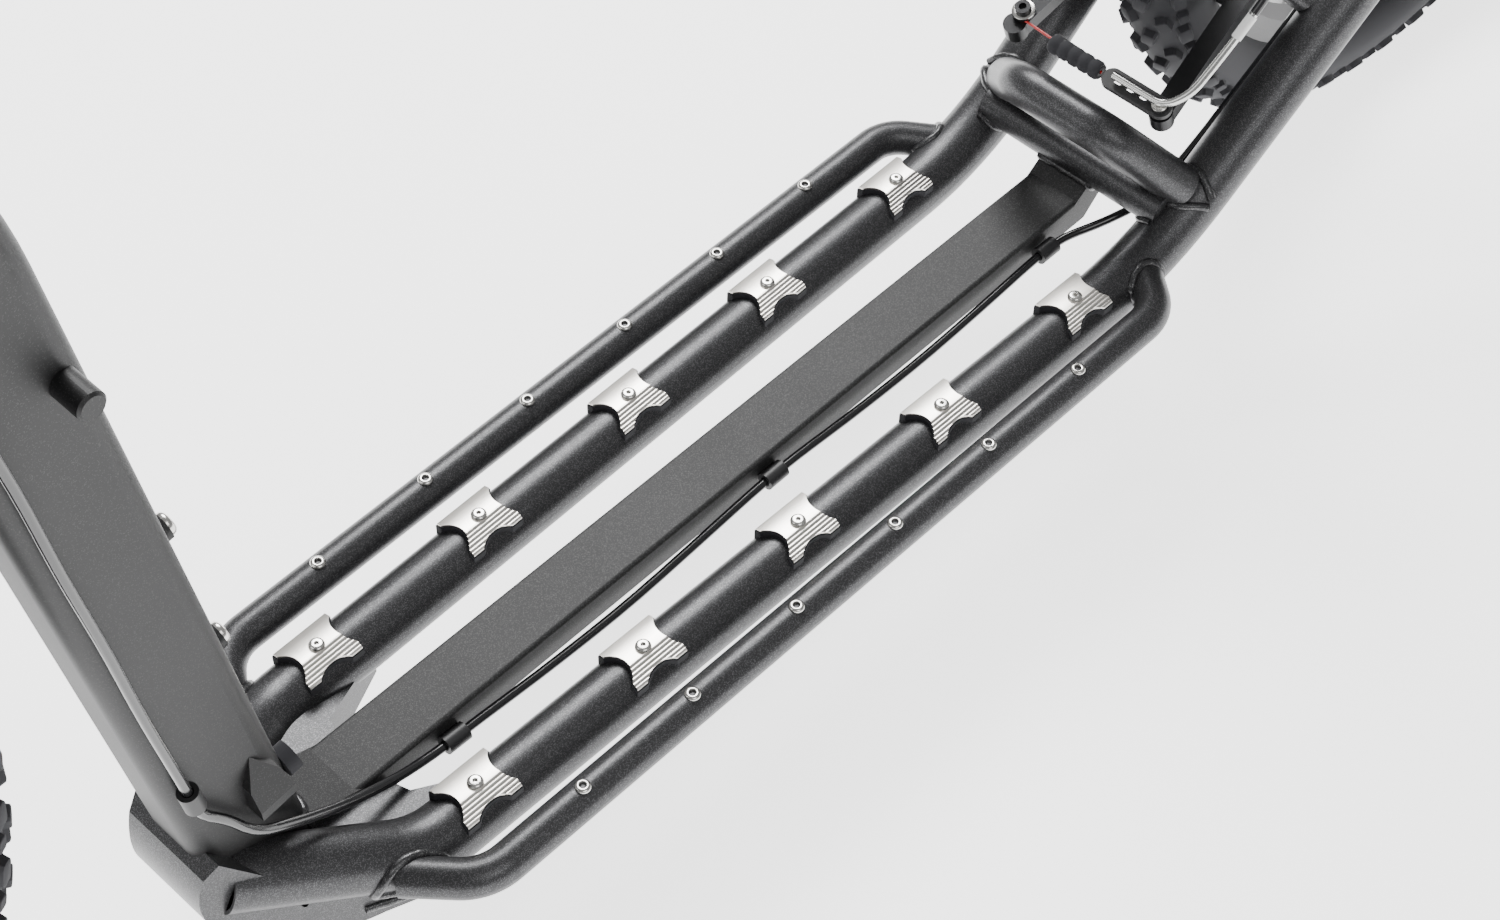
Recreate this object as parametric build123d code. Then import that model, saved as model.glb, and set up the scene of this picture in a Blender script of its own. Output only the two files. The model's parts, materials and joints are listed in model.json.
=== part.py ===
"""Low-deck cargo kick bike: a welded deck frame on two main tubes, a leaning mast, a fork and two wheels.

Millimetres.  The origin is on the ground, on the centre plane, halfway between the axles.
+X points forward, +Y to the rider's left and +Z up.
"""

import os
from math import cos, pi, radians, sin, tan

from build123d import *

# Wheels
wheelbase = 1415.0
tyre_radius = 336.0
tyre_width = 54.0
rim_radius = 285.0
rim_width = 29.0
spoke_count = 32
spoke_radius = 1.0
rear_hub_width = 135.0
front_hub_width = 100.0
axle_radius = 5.0
running_gap = 0.05
clear_gap = 0.4

# Deck
deck_tube_radius = 17.45
deck_tube_wall = 2.0
deck_tube_z = 92.5
deck_front_x = 214.0
deck_front_y = 57.8
deck_rear_x = -349.0
deck_rear_y = 68.8
mast_entry = (300.0, 19.0, 129.0)
front_bend_radius = 60.0
rear_bend_radius = 170.0
stay_rise = 35.2
stay_splay = 0.0374
stay_end_x = -662.0

rail_radius = 10.4
rail_z = 104.0
rail_front_x = 207.0
rail_rear_x = -310.0
rail_front_y = 97.0
rail_rear_y = 103.5
rail_corner_radius = 40.0

plate_pitch = 114.0
plate_count = 5
plate_first_x = 177.5
rivet_pitch = 76.0
rivet_count = 6
rivet_first_x = 142.8

beam_width = 36.0
beam_height = 22.0
beam_wall = 2.5
beam_top_z = 109.0
beam_front_x = 219.0
beam_rear_x = -343.5

# Mast and head
mast_width = 44.0
mast_depth = 58.0
mast_wall = 2.5
mast_foot = (272.9, 98.0)
mast_knee = (349.5, 643.0)
mast_top = (508.0, 776.0)
mast_knee_radius = 260.0
head_angle = 71.0
fork_rake = 45.0
crown_height = 410.0
head_tube_length = 116.0
head_tube_radius = 22.0
steerer_radius = 14.3
bar_half_width = 320.0
bar_radius = 11.1
bar_rise = 60.0

# Cables and brakes
housing_radius = 2.6
wire_radius = 0.8
brake_arm_length = 118.0
brake_pivot_half_gap = 40.0
brake_tip_half_gap = 53.0
pad_offset = 22.0
pad_gap = 2.0

# Rear stand
stand_pivot = (-677.0, 319.0)
stand_lead = 8.0
stand_shoulder_y = 114.0
stand_foot_y = 170.0
stand_tube_radius = 6.5
stand_foot_radius = 11.0

rear_axle = Vector(-wheelbase / 2, 0, tyre_radius)
front_axle = Vector(wheelbase / 2, 0, tyre_radius)
steer_up = Vector(-cos(radians(head_angle)), 0, sin(radians(head_angle)))
steer_forward = Vector(sin(radians(head_angle)), 0, cos(radians(head_angle)))
steer_base = front_axle - steer_forward * fork_rake
crown_top = steer_base + steer_up * crown_height

pieces = {}


def keep(name, shape):
    """Label a finished node and store it for export."""
    shape.label = name
    pieces[name] = shape
    return shape


def group(solids):
    """Gather separate solids into one node."""
    return Compound(children=list(solids))


def mirrored(shape):
    """The same shape on the other side of the centre plane."""
    return mirror(shape, about=Plane.XZ)


def rod(start, end, radius):
    """A straight cylinder between two points."""
    start = Vector(start)
    run = Vector(end) - start
    return extrude(Plane(origin=start, z_dir=run) * Circle(radius), run.length)


def ring(start, end, outer, inner):
    """A straight sleeve between two points."""
    start = Vector(start)
    run = Vector(end) - start
    return extrude(Plane(origin=start, z_dir=run) * (Circle(outer) - Circle(inner)), run.length)


def pipe(points, radii, outer, inner=0.0):
    """A bent round tube through the points, with one bend radius per inner point."""
    path = FilletPolyline(*points, radius=radii) if len(points) > 2 else Line(*points)
    section = Circle(outer) - Circle(inner) if inner else Circle(outer)
    return sweep(Plane(origin=path @ 0, z_dir=path % 0) * section, path=path)


def cable(name, points, radius):
    """A cable whose arcs are as large as its runs allow; prints its radii and length."""
    spots = [Vector(p) for p in points]
    radii = []
    for before, here, after in zip(spots, spots[1:], spots[2:]):
        run_in = here - before
        run_out = after - here
        half_turn = radians(run_in.get_angle(run_out)) / 2
        radii.append(0.45 * min(run_in.length, run_out.length) / tan(half_turn))
    path = FilletPolyline(*spots, radius=radii)
    tube = sweep(Plane(origin=path @ 0, z_dir=path % 0) * Circle(radius), path=path)
    expected = pi * radius**2 * path.length
    print(name, "length", round(path.length), "smallest radius", round(min(radii), 1),
          "volume ratio", round(tube.volume / expected, 3))
    return tube


def deck_y(x):
    """Half the gap between the main tubes' centre lines at x."""
    share = (deck_front_x - x) / (deck_front_x - deck_rear_x)
    return deck_front_y + share * (deck_rear_y - deck_front_y)


def stay_point(x):
    """A point on the left stay's centre line, behind the deck."""
    back = deck_rear_x - x
    return Vector(x, deck_rear_y + back * stay_splay, deck_tube_z + back * tan(radians(stay_rise)))


def rail_y(x):
    """Half the gap between the side rails' centre lines at x."""
    share = (rail_front_x - x) / (rail_front_x - rail_rear_x)
    return rail_front_y + share * (rail_rear_y - rail_front_y)


# ---------------------------------------------------------------- mast and head tube
mast_path = FilletPolyline(
    (mast_foot[0], 0, mast_foot[1]), (mast_knee[0], 0, mast_knee[1]), (mast_top[0], 0, mast_top[1]),
    radius=mast_knee_radius,
)
mast_section = Plane(origin=mast_path @ 0, x_dir=(0, 1, 0), z_dir=mast_path % 0)
mast_lean = Vector(mast_path % 0)
mast_ahead = Vector(mast_lean.Z, 0, -mast_lean.X)
mast_outer = sweep(mast_section * RectangleRounded(mast_width, mast_depth, 11), path=mast_path)
mast_inner = sweep(
    mast_section * RectangleRounded(mast_width - 2 * mast_wall, mast_depth - 2 * mast_wall, 8.5),
    path=mast_path,
)


def mast_spot(height, ahead, side):
    """A point on the mast: height above its foot along it, ahead of its middle, to its left."""
    return Vector(mast_path @ 0) + mast_lean * height + mast_ahead * ahead + Vector(0, side, 0)


head_bottom = crown_top + steer_up * 6
head_top = head_bottom + steer_up * head_tube_length
head_outer = rod(head_bottom, head_top, head_tube_radius)
head_tube = head_outer - rod(head_bottom, head_top, 17.2)
keep("head_tube", head_tube)

# ---------------------------------------------------------------- deck tubes
main_points = [
    mast_entry,
    (deck_front_x, deck_front_y, deck_tube_z),
    (deck_rear_x, deck_rear_y, deck_tube_z),
    stay_point(stay_end_x),
]
main_radii = [front_bend_radius, rear_bend_radius]
main_outer = pipe(main_points, main_radii, deck_tube_radius)
main_bore = pipe(main_points, main_radii, deck_tube_radius - deck_tube_wall)

rail_points = [
    (rail_front_x + 26, deck_y(rail_front_x) + 6, rail_z - 4),
    (rail_front_x, rail_front_y, rail_z),
    (rail_rear_x, rail_rear_y, rail_z),
    (rail_rear_x - 26, deck_y(rail_rear_x) + 6, rail_z - 4),
]
rail_outer = pipe(rail_points, [rail_corner_radius * 0.72] * 2, rail_radius)
rail_bore = pipe(rail_points, [rail_corner_radius * 0.72] * 2, rail_radius - 1.8)

axle_plate_y = rear_hub_width / 2
plate_thick = 6.0


def dropout():
    """The left axle plate: a tongue from the stay's end to a slotted eye."""
    root = stay_point(stay_end_x + 22)
    side = Plane(origin=(0, axle_plate_y, 0), x_dir=(1, 0, 0), z_dir=(0, -1, 0))
    eye = side * Pos(rear_axle.X, rear_axle.Z) * Circle(21)
    tongue_run = Vector(root.X - rear_axle.X, 0, root.Z - rear_axle.Z)
    tongue_mid = Vector((root.X + rear_axle.X) / 2, (root.Z + rear_axle.Z) / 2)
    tongue_turn = -stay_rise + 3
    tongue = Rot(0, 0, tongue_turn) * Rectangle(tongue_run.length + 16, 26)
    tongue = side * Pos(tongue_mid.X, tongue_mid.Y) * tongue
    slot = side * Pos(rear_axle.X, rear_axle.Z - 15) * Rectangle(2 * axle_radius + 0.3, 30)
    bore = side * Pos(rear_axle.X, rear_axle.Z) * Circle(axle_radius + 0.15)
    return extrude(eye + tongue - slot - bore, -plate_thick)


left_dropout = dropout()
keep("rear_dropouts", group([left_dropout, mirrored(left_dropout)]))
left_main = main_outer - main_bore - mast_outer - left_dropout
keep("main_tube_left", left_main)
keep("main_tube_right", mirrored(left_main))
left_rail = rail_outer - rail_bore - main_outer
left_rail = max(left_rail.solids(), key=lambda s: s.volume)
keep("side_rail_left", Part() + left_rail)
keep("side_rail_right", mirrored(Part() + left_rail))

# The centre beam: a flat rectangular bar with a ramp at each end
ramp_front = (mast_foot[0] - 24, beam_top_z + 12)
ramp_rear = (-366.0, 126.0)
beam_side = Plane(origin=(0, -beam_width / 2, 0), x_dir=(1, 0, 0), z_dir=(0, -1, 0))
beam_outline = Polyline(
    (ramp_front[0], ramp_front[1]), (beam_front_x, beam_top_z), (beam_rear_x, beam_top_z), ramp_rear,
    (ramp_rear[0] - 6, ramp_rear[1] - beam_height + 4), (beam_rear_x - 8, beam_top_z - beam_height),
    (beam_front_x + 6, beam_top_z - beam_height), (ramp_front[0], ramp_front[1] - beam_height),
    close=True,
)
beam_bar = extrude(beam_side * make_face(beam_outline), -beam_width)
beam_bar = fillet(beam_bar.edges().filter_by(Axis.X), 2.5)
beam_core_side = Plane(origin=(0, beam_wall - beam_width / 2, 0), x_dir=(1, 0, 0), z_dir=(0, -1, 0))
beam_core = extrude(beam_core_side * offset(make_face(beam_outline), -beam_wall), 2 * beam_wall - beam_width)
cross_centre = Vector(-362, 0, 122)
cross_y = 66.0
cross_bar = rod(cross_centre + (0, -cross_y, 0), cross_centre + (0, cross_y, 0), 11.0)
arch_points = [(-377, -66, 131), (-342, -31, 172), (-342, 31, 172), (-377, 66, 131)]
arch_bar = pipe(arch_points, [24, 24], 12.7)
right_outer = mirrored(main_outer)
keep("centre_beam", beam_bar - beam_core - mast_outer - cross_bar)
keep("rear_bridge_tubes", group([
    cross_bar - main_outer - right_outer,
    arch_bar - main_outer - right_outer - cross_bar,
]))


def foot_shell():
    """The pressed keel that closes the joint of mast and tubes from the front and from below."""
    side = Plane(origin=(0, 0, 0), x_dir=(1, 0, 0), z_dir=(0, -1, 0))
    outline = make_face(
        Line((306, 160), (314, 152))
        + ThreePointArc((314, 152), (318, 122), (303, 90))
        + ThreePointArc((303, 90), (278, 70), (240, 66))
        + Line((240, 66), (150, 71))
        + Line((150, 71), (150, 88))
        + Line((150, 88), (270, 112))
        + Line((270, 112), (306, 160))
    )
    block = extrude(side * outline, 75, both=True)
    plan = Polyline((322, -24), (322, 24), (292, 35), (216, 67), (150, 62), (150, 50), (196, 30), (206, 0),
                    (196, -30), (150, -50), (150, -62), (216, -67), (292, -35), close=True)
    block = block & extrude(make_face(plan), 200)
    return block - mast_outer - main_outer - right_outer


foot = foot_shell()
foot = Part() + max(foot.solids(), key=lambda s: s.volume)
keep("mast_foot", foot - beam_bar)

# ---------------------------------------------------------------- tread plates and screws
plate_arc_radius = deck_tube_radius + 1.6
plate_wall = 3.0


def tread_outline():
    """The four-footed plate seen from above: a rectangle hollowed at both ends and on its left."""
    side_hollow = 17.5
    end_hollow = 13.5
    outline = Rectangle(35, 28) - Pos(0, 10.5 + side_hollow) * Circle(side_hollow)
    for way in (1, -1):
        outline -= Pos(way * (12.5 + end_hollow), 0) * Circle(end_hollow)
    return outline


def on_tube(x, side):
    """The place and heading of a fitting on top of a main tube."""
    heading = (deck_rear_y - deck_front_y) / (deck_front_x - deck_rear_x)
    return Location((x, side * deck_y(x), deck_tube_z), (0, 0, -side * heading * 180 / pi))


def saddle(prism, inner, outer):
    """The part of an upright prism that lies between two radii round the tube."""
    cap = prism - Rot(0, 90, 0) * Cylinder(inner, 60)
    beyond = Rot(0, 90, 0) * Cylinder(4 * outer, 60) - Rot(0, 90, 0) * Cylinder(outer, 60)
    return cap - beyond - Cylinder(2.2, 100)


def tread_plate(spot):
    prism = extrude(tread_outline(), 40)
    return spot * saddle(prism, plate_arc_radius, plate_arc_radius + plate_wall)


def tread_pad(spot):
    prism = extrude(scale(tread_outline(), 1.03), 40)
    return spot * saddle(prism, deck_tube_radius + 0.02, plate_arc_radius - 0.02)


def button_screw(head_radius, head_height, shank_radius, shank_length):
    """A round-headed screw with a hexagon socket, its head's underside at the origin."""
    head = Pos(0, 0, head_height / 2) * Cylinder(head_radius, head_height)
    head = fillet(head.edges().group_by(Axis.Z)[-1], head_height * 0.7)
    shank = Pos(0, 0, -shank_length / 2) * Cylinder(shank_radius, shank_length)
    socket = Pos(0, 0, head_height - 1.3) * extrude(RegularPolygon(head_radius * 0.34, 6), 4)
    return head + shank - socket


plates = []
pads = []
screws = []
plate_top = plate_arc_radius + plate_wall
for side in (1, -1):
    for index in range(plate_count):
        spot = on_tube(plate_first_x - index * plate_pitch, side)
        plates.append(tread_plate(spot))
        pads.append(tread_pad(spot))
        screws.append(spot * Pos(0, 0, plate_top) * button_screw(4.2, 2.4, 2.1, plate_wall + 1.4))
keep("tread_plates", group(plates))
keep("tread_pads", group(pads))
keep("tread_screws", group(screws))

rivets = []
for side in (1, -1):
    for index in range(rivet_count):
        x = rivet_first_x - index * rivet_pitch
        spot = Pos(x, side * rail_y(x), rail_z + rail_radius + 0.02)
        flange = Pos(0, 0, 0.8) * Cylinder(4.3, 1.6)
        flange = fillet(flange.edges().group_by(Axis.Z)[-1], 1.0)
        rivets.append(spot * (flange - Cylinder(1.7, 20)))
keep("rail_rivet_nuts", group(rivets))

# ---------------------------------------------------------------- mast fittings
boss_heights = (168.0, 258.0)
mast_back = mast_depth / 2
mast_half = mast_width / 2
bosses = []
boss_screws = []
for height in boss_heights:
    face = mast_spot(height, -mast_back + 0.5, 0)
    seat = mast_spot(height, -mast_back - 5, 0)
    bosses.append(ring(face, seat, 6.5, 3.1))
    turn = Plane(origin=seat, z_dir=-mast_ahead).location
    boss_screws.append(turn * button_screw(5.6, 3.4, 3.0, 4.9))
keep("mast_boss_screws", group(boss_screws))

peg = rod(mast_spot(398, -17.5, mast_half - 2.4), mast_spot(398, -17.5, mast_half + 17), 6.5)
peg_rim = peg.edges().filter_by(GeomType.CIRCLE).sort_by(Axis.Y)[-1]
peg = chamfer(peg_rim, 1.2)


def hood_wedge(inset, drop):
    """A wedge on the mast's left side: pointed and flush above, standing out below."""
    face = Plane(origin=mast_spot(0, -14, mast_half - 2.3), x_dir=mast_ahead, z_dir=(0, -1, 0))
    front = face * make_face(Polyline(
        (-11 + inset, 74 - drop), (11 - inset, 74 - drop), (9 - inset, 92 - inset), (0, 108 - 2.5 * inset),
        (-9 + inset, 92 - inset), close=True))
    flank = Plane(origin=mast_spot(0, -40, mast_half), x_dir=(0, 1, 0), z_dir=mast_ahead)
    side = flank * make_face(Polyline(
        (-2.6, 74 - drop), (11 - inset, 74 - drop), (11 - inset, 80), (0, 108 - 3 * inset),
        (-2.6, 108 - 3 * inset), close=True))
    return extrude(front, -16.3) & extrude(side, 60)


hood = hood_wedge(0, 0) - hood_wedge(1.8, 6)
mast = mast_outer + bosses + peg + hood - mast_inner - head_outer
keep("mast", Part() + max(mast.solids(), key=lambda solid: solid.volume))

guide_ahead = 19.0
guide_y = mast_half + housing_radius + 2.7
plug_start = mast_spot(66, -mast_back - 0.02, 12)
keep("cable_port_plug", rod(plug_start, plug_start - mast_ahead * 7, 8.0))

# ---------------------------------------------------------------- rear brake cable, held along the frame
clip_y = beam_width / 2 + housing_radius + 2.7
clip_z = 97.0
rear_cable_points = [
    mast_spot(445, guide_ahead, guide_y),
    mast_spot(420, guide_ahead + 0.2, guide_y),
    mast_spot(370, guide_ahead - 1.0, guide_y - 0.4),
    mast_spot(315, guide_ahead + 0.4, guide_y),
    mast_spot(260, guide_ahead - 0.5, guide_y - 0.5),
    mast_spot(205, guide_ahead + 0.6, guide_y - 0.3),
    mast_spot(140, guide_ahead, guide_y),
    mast_spot(108, guide_ahead, guide_y),
    (296, 29, 188),
    (284, 31, 164),
    (258, 30, 143),
    (227, 27.5, 121),
    (196, 24.5, 104.5),
    (172, clip_y, clip_z + 0.6),
    (148, clip_y, clip_z - 0.6),
    (96, clip_y + 1.5, clip_z - 3),
    (40, clip_y + 2.5, clip_z - 3.5),
    (-16, clip_y + 1, clip_z - 2),
    (-60, clip_y, clip_z),
    (-90, clip_y, clip_z + 0.4),
    (-140, clip_y + 1.2, clip_z - 2),
    (-196, clip_y + 2, clip_z - 2.6),
    (-252, clip_y + 1.2, clip_z - 1.2),
    (-296, clip_y, clip_z),
    (-323, clip_y + 0.6, clip_z + 0.8),
    (-347, clip_y + 11, 100),
    (-375, 46, 107),
    (-410, 49, 128),
    (-452, 51, 156),
    (-496, 53, 187),
    (-538, 54, 218),
    (-570, 56, 252),
    (-578, 60, 290),
    (-558, 65, 320),
    (-524, 69, 333),
]
loop_top = (-490, 73, 333)


def clip_on(start, end):
    """A barrel clip round the middle of one straight run of the cable."""
    start = Vector(start)
    middle = (start + Vector(end)) * 0.5
    reach = (Vector(end) - start).normalized() * 7
    return ring(middle - reach, middle + reach, housing_radius + 2.6, housing_radius + 0.35)


clip_runs = [0, 6, 13, 18, 23]
clips = [clip_on(rear_cable_points[run], rear_cable_points[run + 1]) for run in clip_runs]
keep("cable_clips", group(clips))
keep("rear_brake_housing", cable("rear_brake_housing", rear_cable_points + [loop_top], housing_radius))


def unit(a, b):
    """The direction from a to b."""
    return (Vector(b) - Vector(a)).normalized()


# ---------------------------------------------------------------- wheels
def wheel(axle, flange_half, name):
    """Tyre, rim, spokes and hub shell that turn together about the axle."""
    here = Pos(*axle)
    half = tyre_width / 2
    casing = Plane.XY * make_face(Spline(
        (279.5, 9.0), (292, 15.5), (307, 23.5), (320, half), (331, half - 6), (336, 10), (336, -10),
        (331, -half + 6), (320, -half), (307, -23.5), (292, -15.5), (279.5, -9.0),
    ) + Spline((279.5, -9.0), (293, -9.5), (309, -18), (319, -20.5), (327, -14), (329.5, 0), (327, 14),
               (319, 20.5), (309, 18), (293, 9.5), (279.5, 9.0)))
    tyre = revolve(casing, Axis.Y) & (Rot(90, 0, 0) * Cylinder(tyre_radius, 2 * tyre_width))
    rim_face = make_face(Polyline(
        (262, -5), (262, 5), (270, 13), (277.2, rim_width / 2), (rim_radius, rim_width / 2),
        (rim_radius, rim_width / 2 - 2), (278.5, 8.4), (276, 7), (276, -7), (278.5, -8.4),
        (rim_radius, -rim_width / 2 + 2), (rim_radius, -rim_width / 2), (277.2, -rim_width / 2), (270, -13),
        close=True))
    rim = revolve(rim_face, Axis.Y) - tyre
    flange = 2.0
    shell_face = make_face(Polyline(
        (13 + running_gap, -flange_half - 5), (17, -flange_half - 5), (17, -flange_half - flange),
        (25, -flange_half - flange), (25, -flange_half + flange), (16, -flange_half + 6),
        (16, flange_half - 6), (25, flange_half - flange), (25, flange_half + flange),
        (17, flange_half + flange), (17, flange_half + 5), (13 + running_gap, flange_half + 5), close=True))
    shell = revolve(shell_face, Axis.Y)
    spokes = []
    for index in range(spoke_count):
        side = 1 if index % 2 else -1
        lean = 1 if index % 4 < 2 else -1
        rim_turn = 2 * pi * (index + 0.5) / spoke_count
        hub_turn = rim_turn + lean * radians(62)
        low = Vector(22 * cos(hub_turn), side * (flange_half + 3.9), 22 * sin(hub_turn))
        high = Vector(261 * cos(rim_turn), side * 2.5, 261 * sin(rim_turn))
        spokes.append(here * rod(low, high, spoke_radius))
    keep(f"{name}_tyre", here * tyre)
    keep(f"{name}_rim", here * rim)
    keep(f"{name}_hub_shell", here * shell)
    keep(f"{name}_spokes", group(spokes))


def axle_set(axle, hub_width, flange_half, name):
    """The fixed axle with its lock nuts, the two bearings and the quick-release skewer."""
    here = Pos(*axle)
    half = hub_width / 2
    bar = rod((0, -half - 5.5, 0), (0, half + 5.5, 0), axle_radius)
    for side in (1, -1):
        bar += rod((0, side * (flange_half + 5.6), 0), (0, side * half, 0), 9.0)
    bar -= rod((0, -half - 5.5, 0), (0, half + 5.5, 0), 2.7)
    core = [here * bar]
    for side in (1, -1):
        core.append(here * ring((0, side * (flange_half - 5), 0), (0, side * (flange_half + 5), 0), 13.0,
                                axle_radius + 0.01))
    keep(f"{name}_axle", group(core))
    outer = half + plate_thick + 0.02
    skewer = rod((0, -outer - 15, 0), (0, outer + 3, 0), 2.5)
    skewer += rod((0, -outer - 12, 0), (0, -outer, 0), 9.0)
    cup = rod((0, outer, 0), (0, outer + 17, 0), 9.5)
    cup -= Pos(0, outer + 12.5, 0) * Box(7.4, 14, 30)
    pin = rod((-9, outer + 12, 0), (9, outer + 12, 0), 2.0)
    keep(f"{name}_skewer", here * (skewer + cup + pin))
    lever = rod((-3.4, outer + 12, 0), (3.4, outer + 12, 0), 5.0)
    arm = Pos(0, outer + 13.5, 27) * Box(6.6, 5, 54)
    paddle = Pos(0, outer + 13.5, 60) * Box(13, 5, 26)
    lever = lever + arm + fillet(paddle.edges().filter_by(Axis.Y), 6)
    lever -= rod((-9, outer + 12, 0), (9, outer + 12, 0), 2.0 + running_gap)
    keep(f"{name}_skewer_lever", here * lever)


wheel(rear_axle, 31.0, "rear")
wheel(front_axle, 30.0, "front")
axle_set(rear_axle, rear_hub_width, 31.0, "rear")
axle_set(front_axle, front_hub_width, 30.0, "front")

# ---------------------------------------------------------------- headset, fork and bars
lower_cup = ring(head_bottom, head_bottom - steer_up * 5.5, 21.5, 17.6)
upper_cup = ring(head_top, head_top + steer_up * 8, 21.5, 17.6)
keep("headset", group([
    lower_cup,
    upper_cup,
    ring(head_bottom - steer_up * 5.5, head_bottom + steer_up * 2, 17.18, steerer_radius + running_gap),
    ring(head_top - steer_up * 2, head_top + steer_up * 7.5, 17.18, steerer_radius + running_gap),
]))

stack_low = head_top + steer_up * (8 + clear_gap)
stack_mid = stack_low + steer_up * 34
stem_top = stack_mid + steer_up * 42
steerer_top = stem_top - steer_up * 3
leg_top = crown_top - steer_up * 26
leg_y = front_hub_width / 2 + 9


def leg_line(share):
    """A point on the left fork leg's centre line, from the crown down to the axle."""
    top = Vector(leg_top.X, leg_y - 1, leg_top.Z)
    low = Vector(front_axle.X, leg_y, front_axle.Z)
    return top + (low - top) * share


def fork_body():
    """Steerer, crown, two legs and their slotted axle tips in one welded piece."""
    steerer = ring(crown_top - steer_up * 20, steerer_top, steerer_radius, steerer_radius - 2)
    seat = ring(crown_top - steer_up * 4, crown_top - steer_up * 0.2, 19.5, steerer_radius - 1)
    crown_plane = Plane(origin=crown_top - steer_up * 34, x_dir=(0, 1, 0), z_dir=steer_up)
    crown = extrude(crown_plane * RectangleRounded(2 * leg_y + 30, 40, 18), 30)
    body = steerer + seat + crown - rod(crown_top - steer_up * 40, steerer_top, steerer_radius - 2)
    for side in (1, -1):
        high = leg_line(0.0)
        low = leg_line(0.955)
        run = low - high
        start = Plane(origin=(high.X, side * high.Y, high.Z), z_dir=(run.X, side * run.Y, run.Z))
        leg = extrude(start * Circle(14), run.length, taper=0.55)
        eye = Pos(front_axle.X, side * (front_hub_width / 2 + plate_thick / 2), front_axle.Z)
        tip = eye * (Rot(90, 0, 0) * Cylinder(17, plate_thick))
        web_mid = leg_line(0.93)
        web = Pos(web_mid.X, side * (front_hub_width / 2 + plate_thick / 2), web_mid.Z)
        web = web * (Rot(0, 26, 0) * Box(22, plate_thick, 60))
        body = body + leg + tip + web
        slot = Pos(front_axle.X, side * (front_hub_width / 2 + plate_thick), front_axle.Z - 16)
        body -= slot * Box(2 * axle_radius + 0.3, 40, 32)
        body -= eye * (Rot(90, 0, 0) * Cylinder(axle_radius + 0.15, 40))
        outboard = side * (front_hub_width / 2 + plate_thick + 15)
        body -= Pos(front_axle.X, outboard, front_axle.Z) * Box(60, 30, 44)
    return body


keep("fork", fork_body())

bar_centre = stack_mid + steer_up * 21 + Vector(66, 0, 44)


def stem_body():
    """The stem: a steerer clamp, a rising arm and a bar clamp."""
    clamp = rod(stack_mid + steer_up * 0.02, stem_top, 20)
    start = stack_mid + steer_up * 21
    arm = rod(start, bar_centre, 15)
    barrel = rod(bar_centre - Vector(0, 26, 0), bar_centre + Vector(0, 26, 0), 21)
    body = clamp + arm + barrel
    body -= rod(stack_mid - steer_up, stem_top + steer_up, steerer_radius + 0.02)
    return body - rod(bar_centre - Vector(0, 40, 0), bar_centre + Vector(0, 40, 0), 15.92)


cap = rod(stem_top + steer_up * 0.02, stem_top + steer_up * 5, 17.5)
cap_rim = cap.edges().filter_by(GeomType.CIRCLE).sort_by(Axis.Z)[-1]
spacers = ring(stack_low, stack_mid, 18.0, steerer_radius + 0.02)
keep("stem", group([stem_body(), fillet(cap_rim, 1.5), spacers]))


def bar_point(y, back, up):
    """A point on the handlebar, measured from the middle of its clamp."""
    return bar_centre + Vector(-back, y, up)


bar_ends = [(bar_half_width, 34, bar_rise + 8), (120, 6, bar_rise), (62, 0, 0)]
bar_points = [bar_point(-y, b, u) for y, b, u in bar_ends]
bar_points += [bar_point(y, b, u) for y, b, u in bar_ends[::-1]]
bar = pipe(bar_points, [40, 32, 32, 40], bar_radius, bar_radius - 2)
sleeve = rod(bar_point(-30, 0, 0), bar_point(30, 0, 0), 15.9)
keep("handlebar", bar + sleeve)


def bar_outer(side, y):
    """A point on the straight outer part of the bar at a distance y from the middle."""
    start = bar_point(side * 120, 6, bar_rise)
    end = bar_point(side * bar_half_width, 34, bar_rise + 8)
    return start + (end - start) * ((y - 120) / (bar_half_width - 120))


grips = []
for side in (1, -1):
    grip_end = bar_outer(side, bar_half_width - 1)
    outward = unit(bar_outer(side, 120), bar_outer(side, 200))
    grip = ring(bar_outer(side, 200), grip_end, 16, bar_radius + 0.02)
    grip += rod(grip_end + outward * 1.2, grip_end + outward * 5, 16)
    grips.append(grip)
keep("grips", group(grips))


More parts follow.
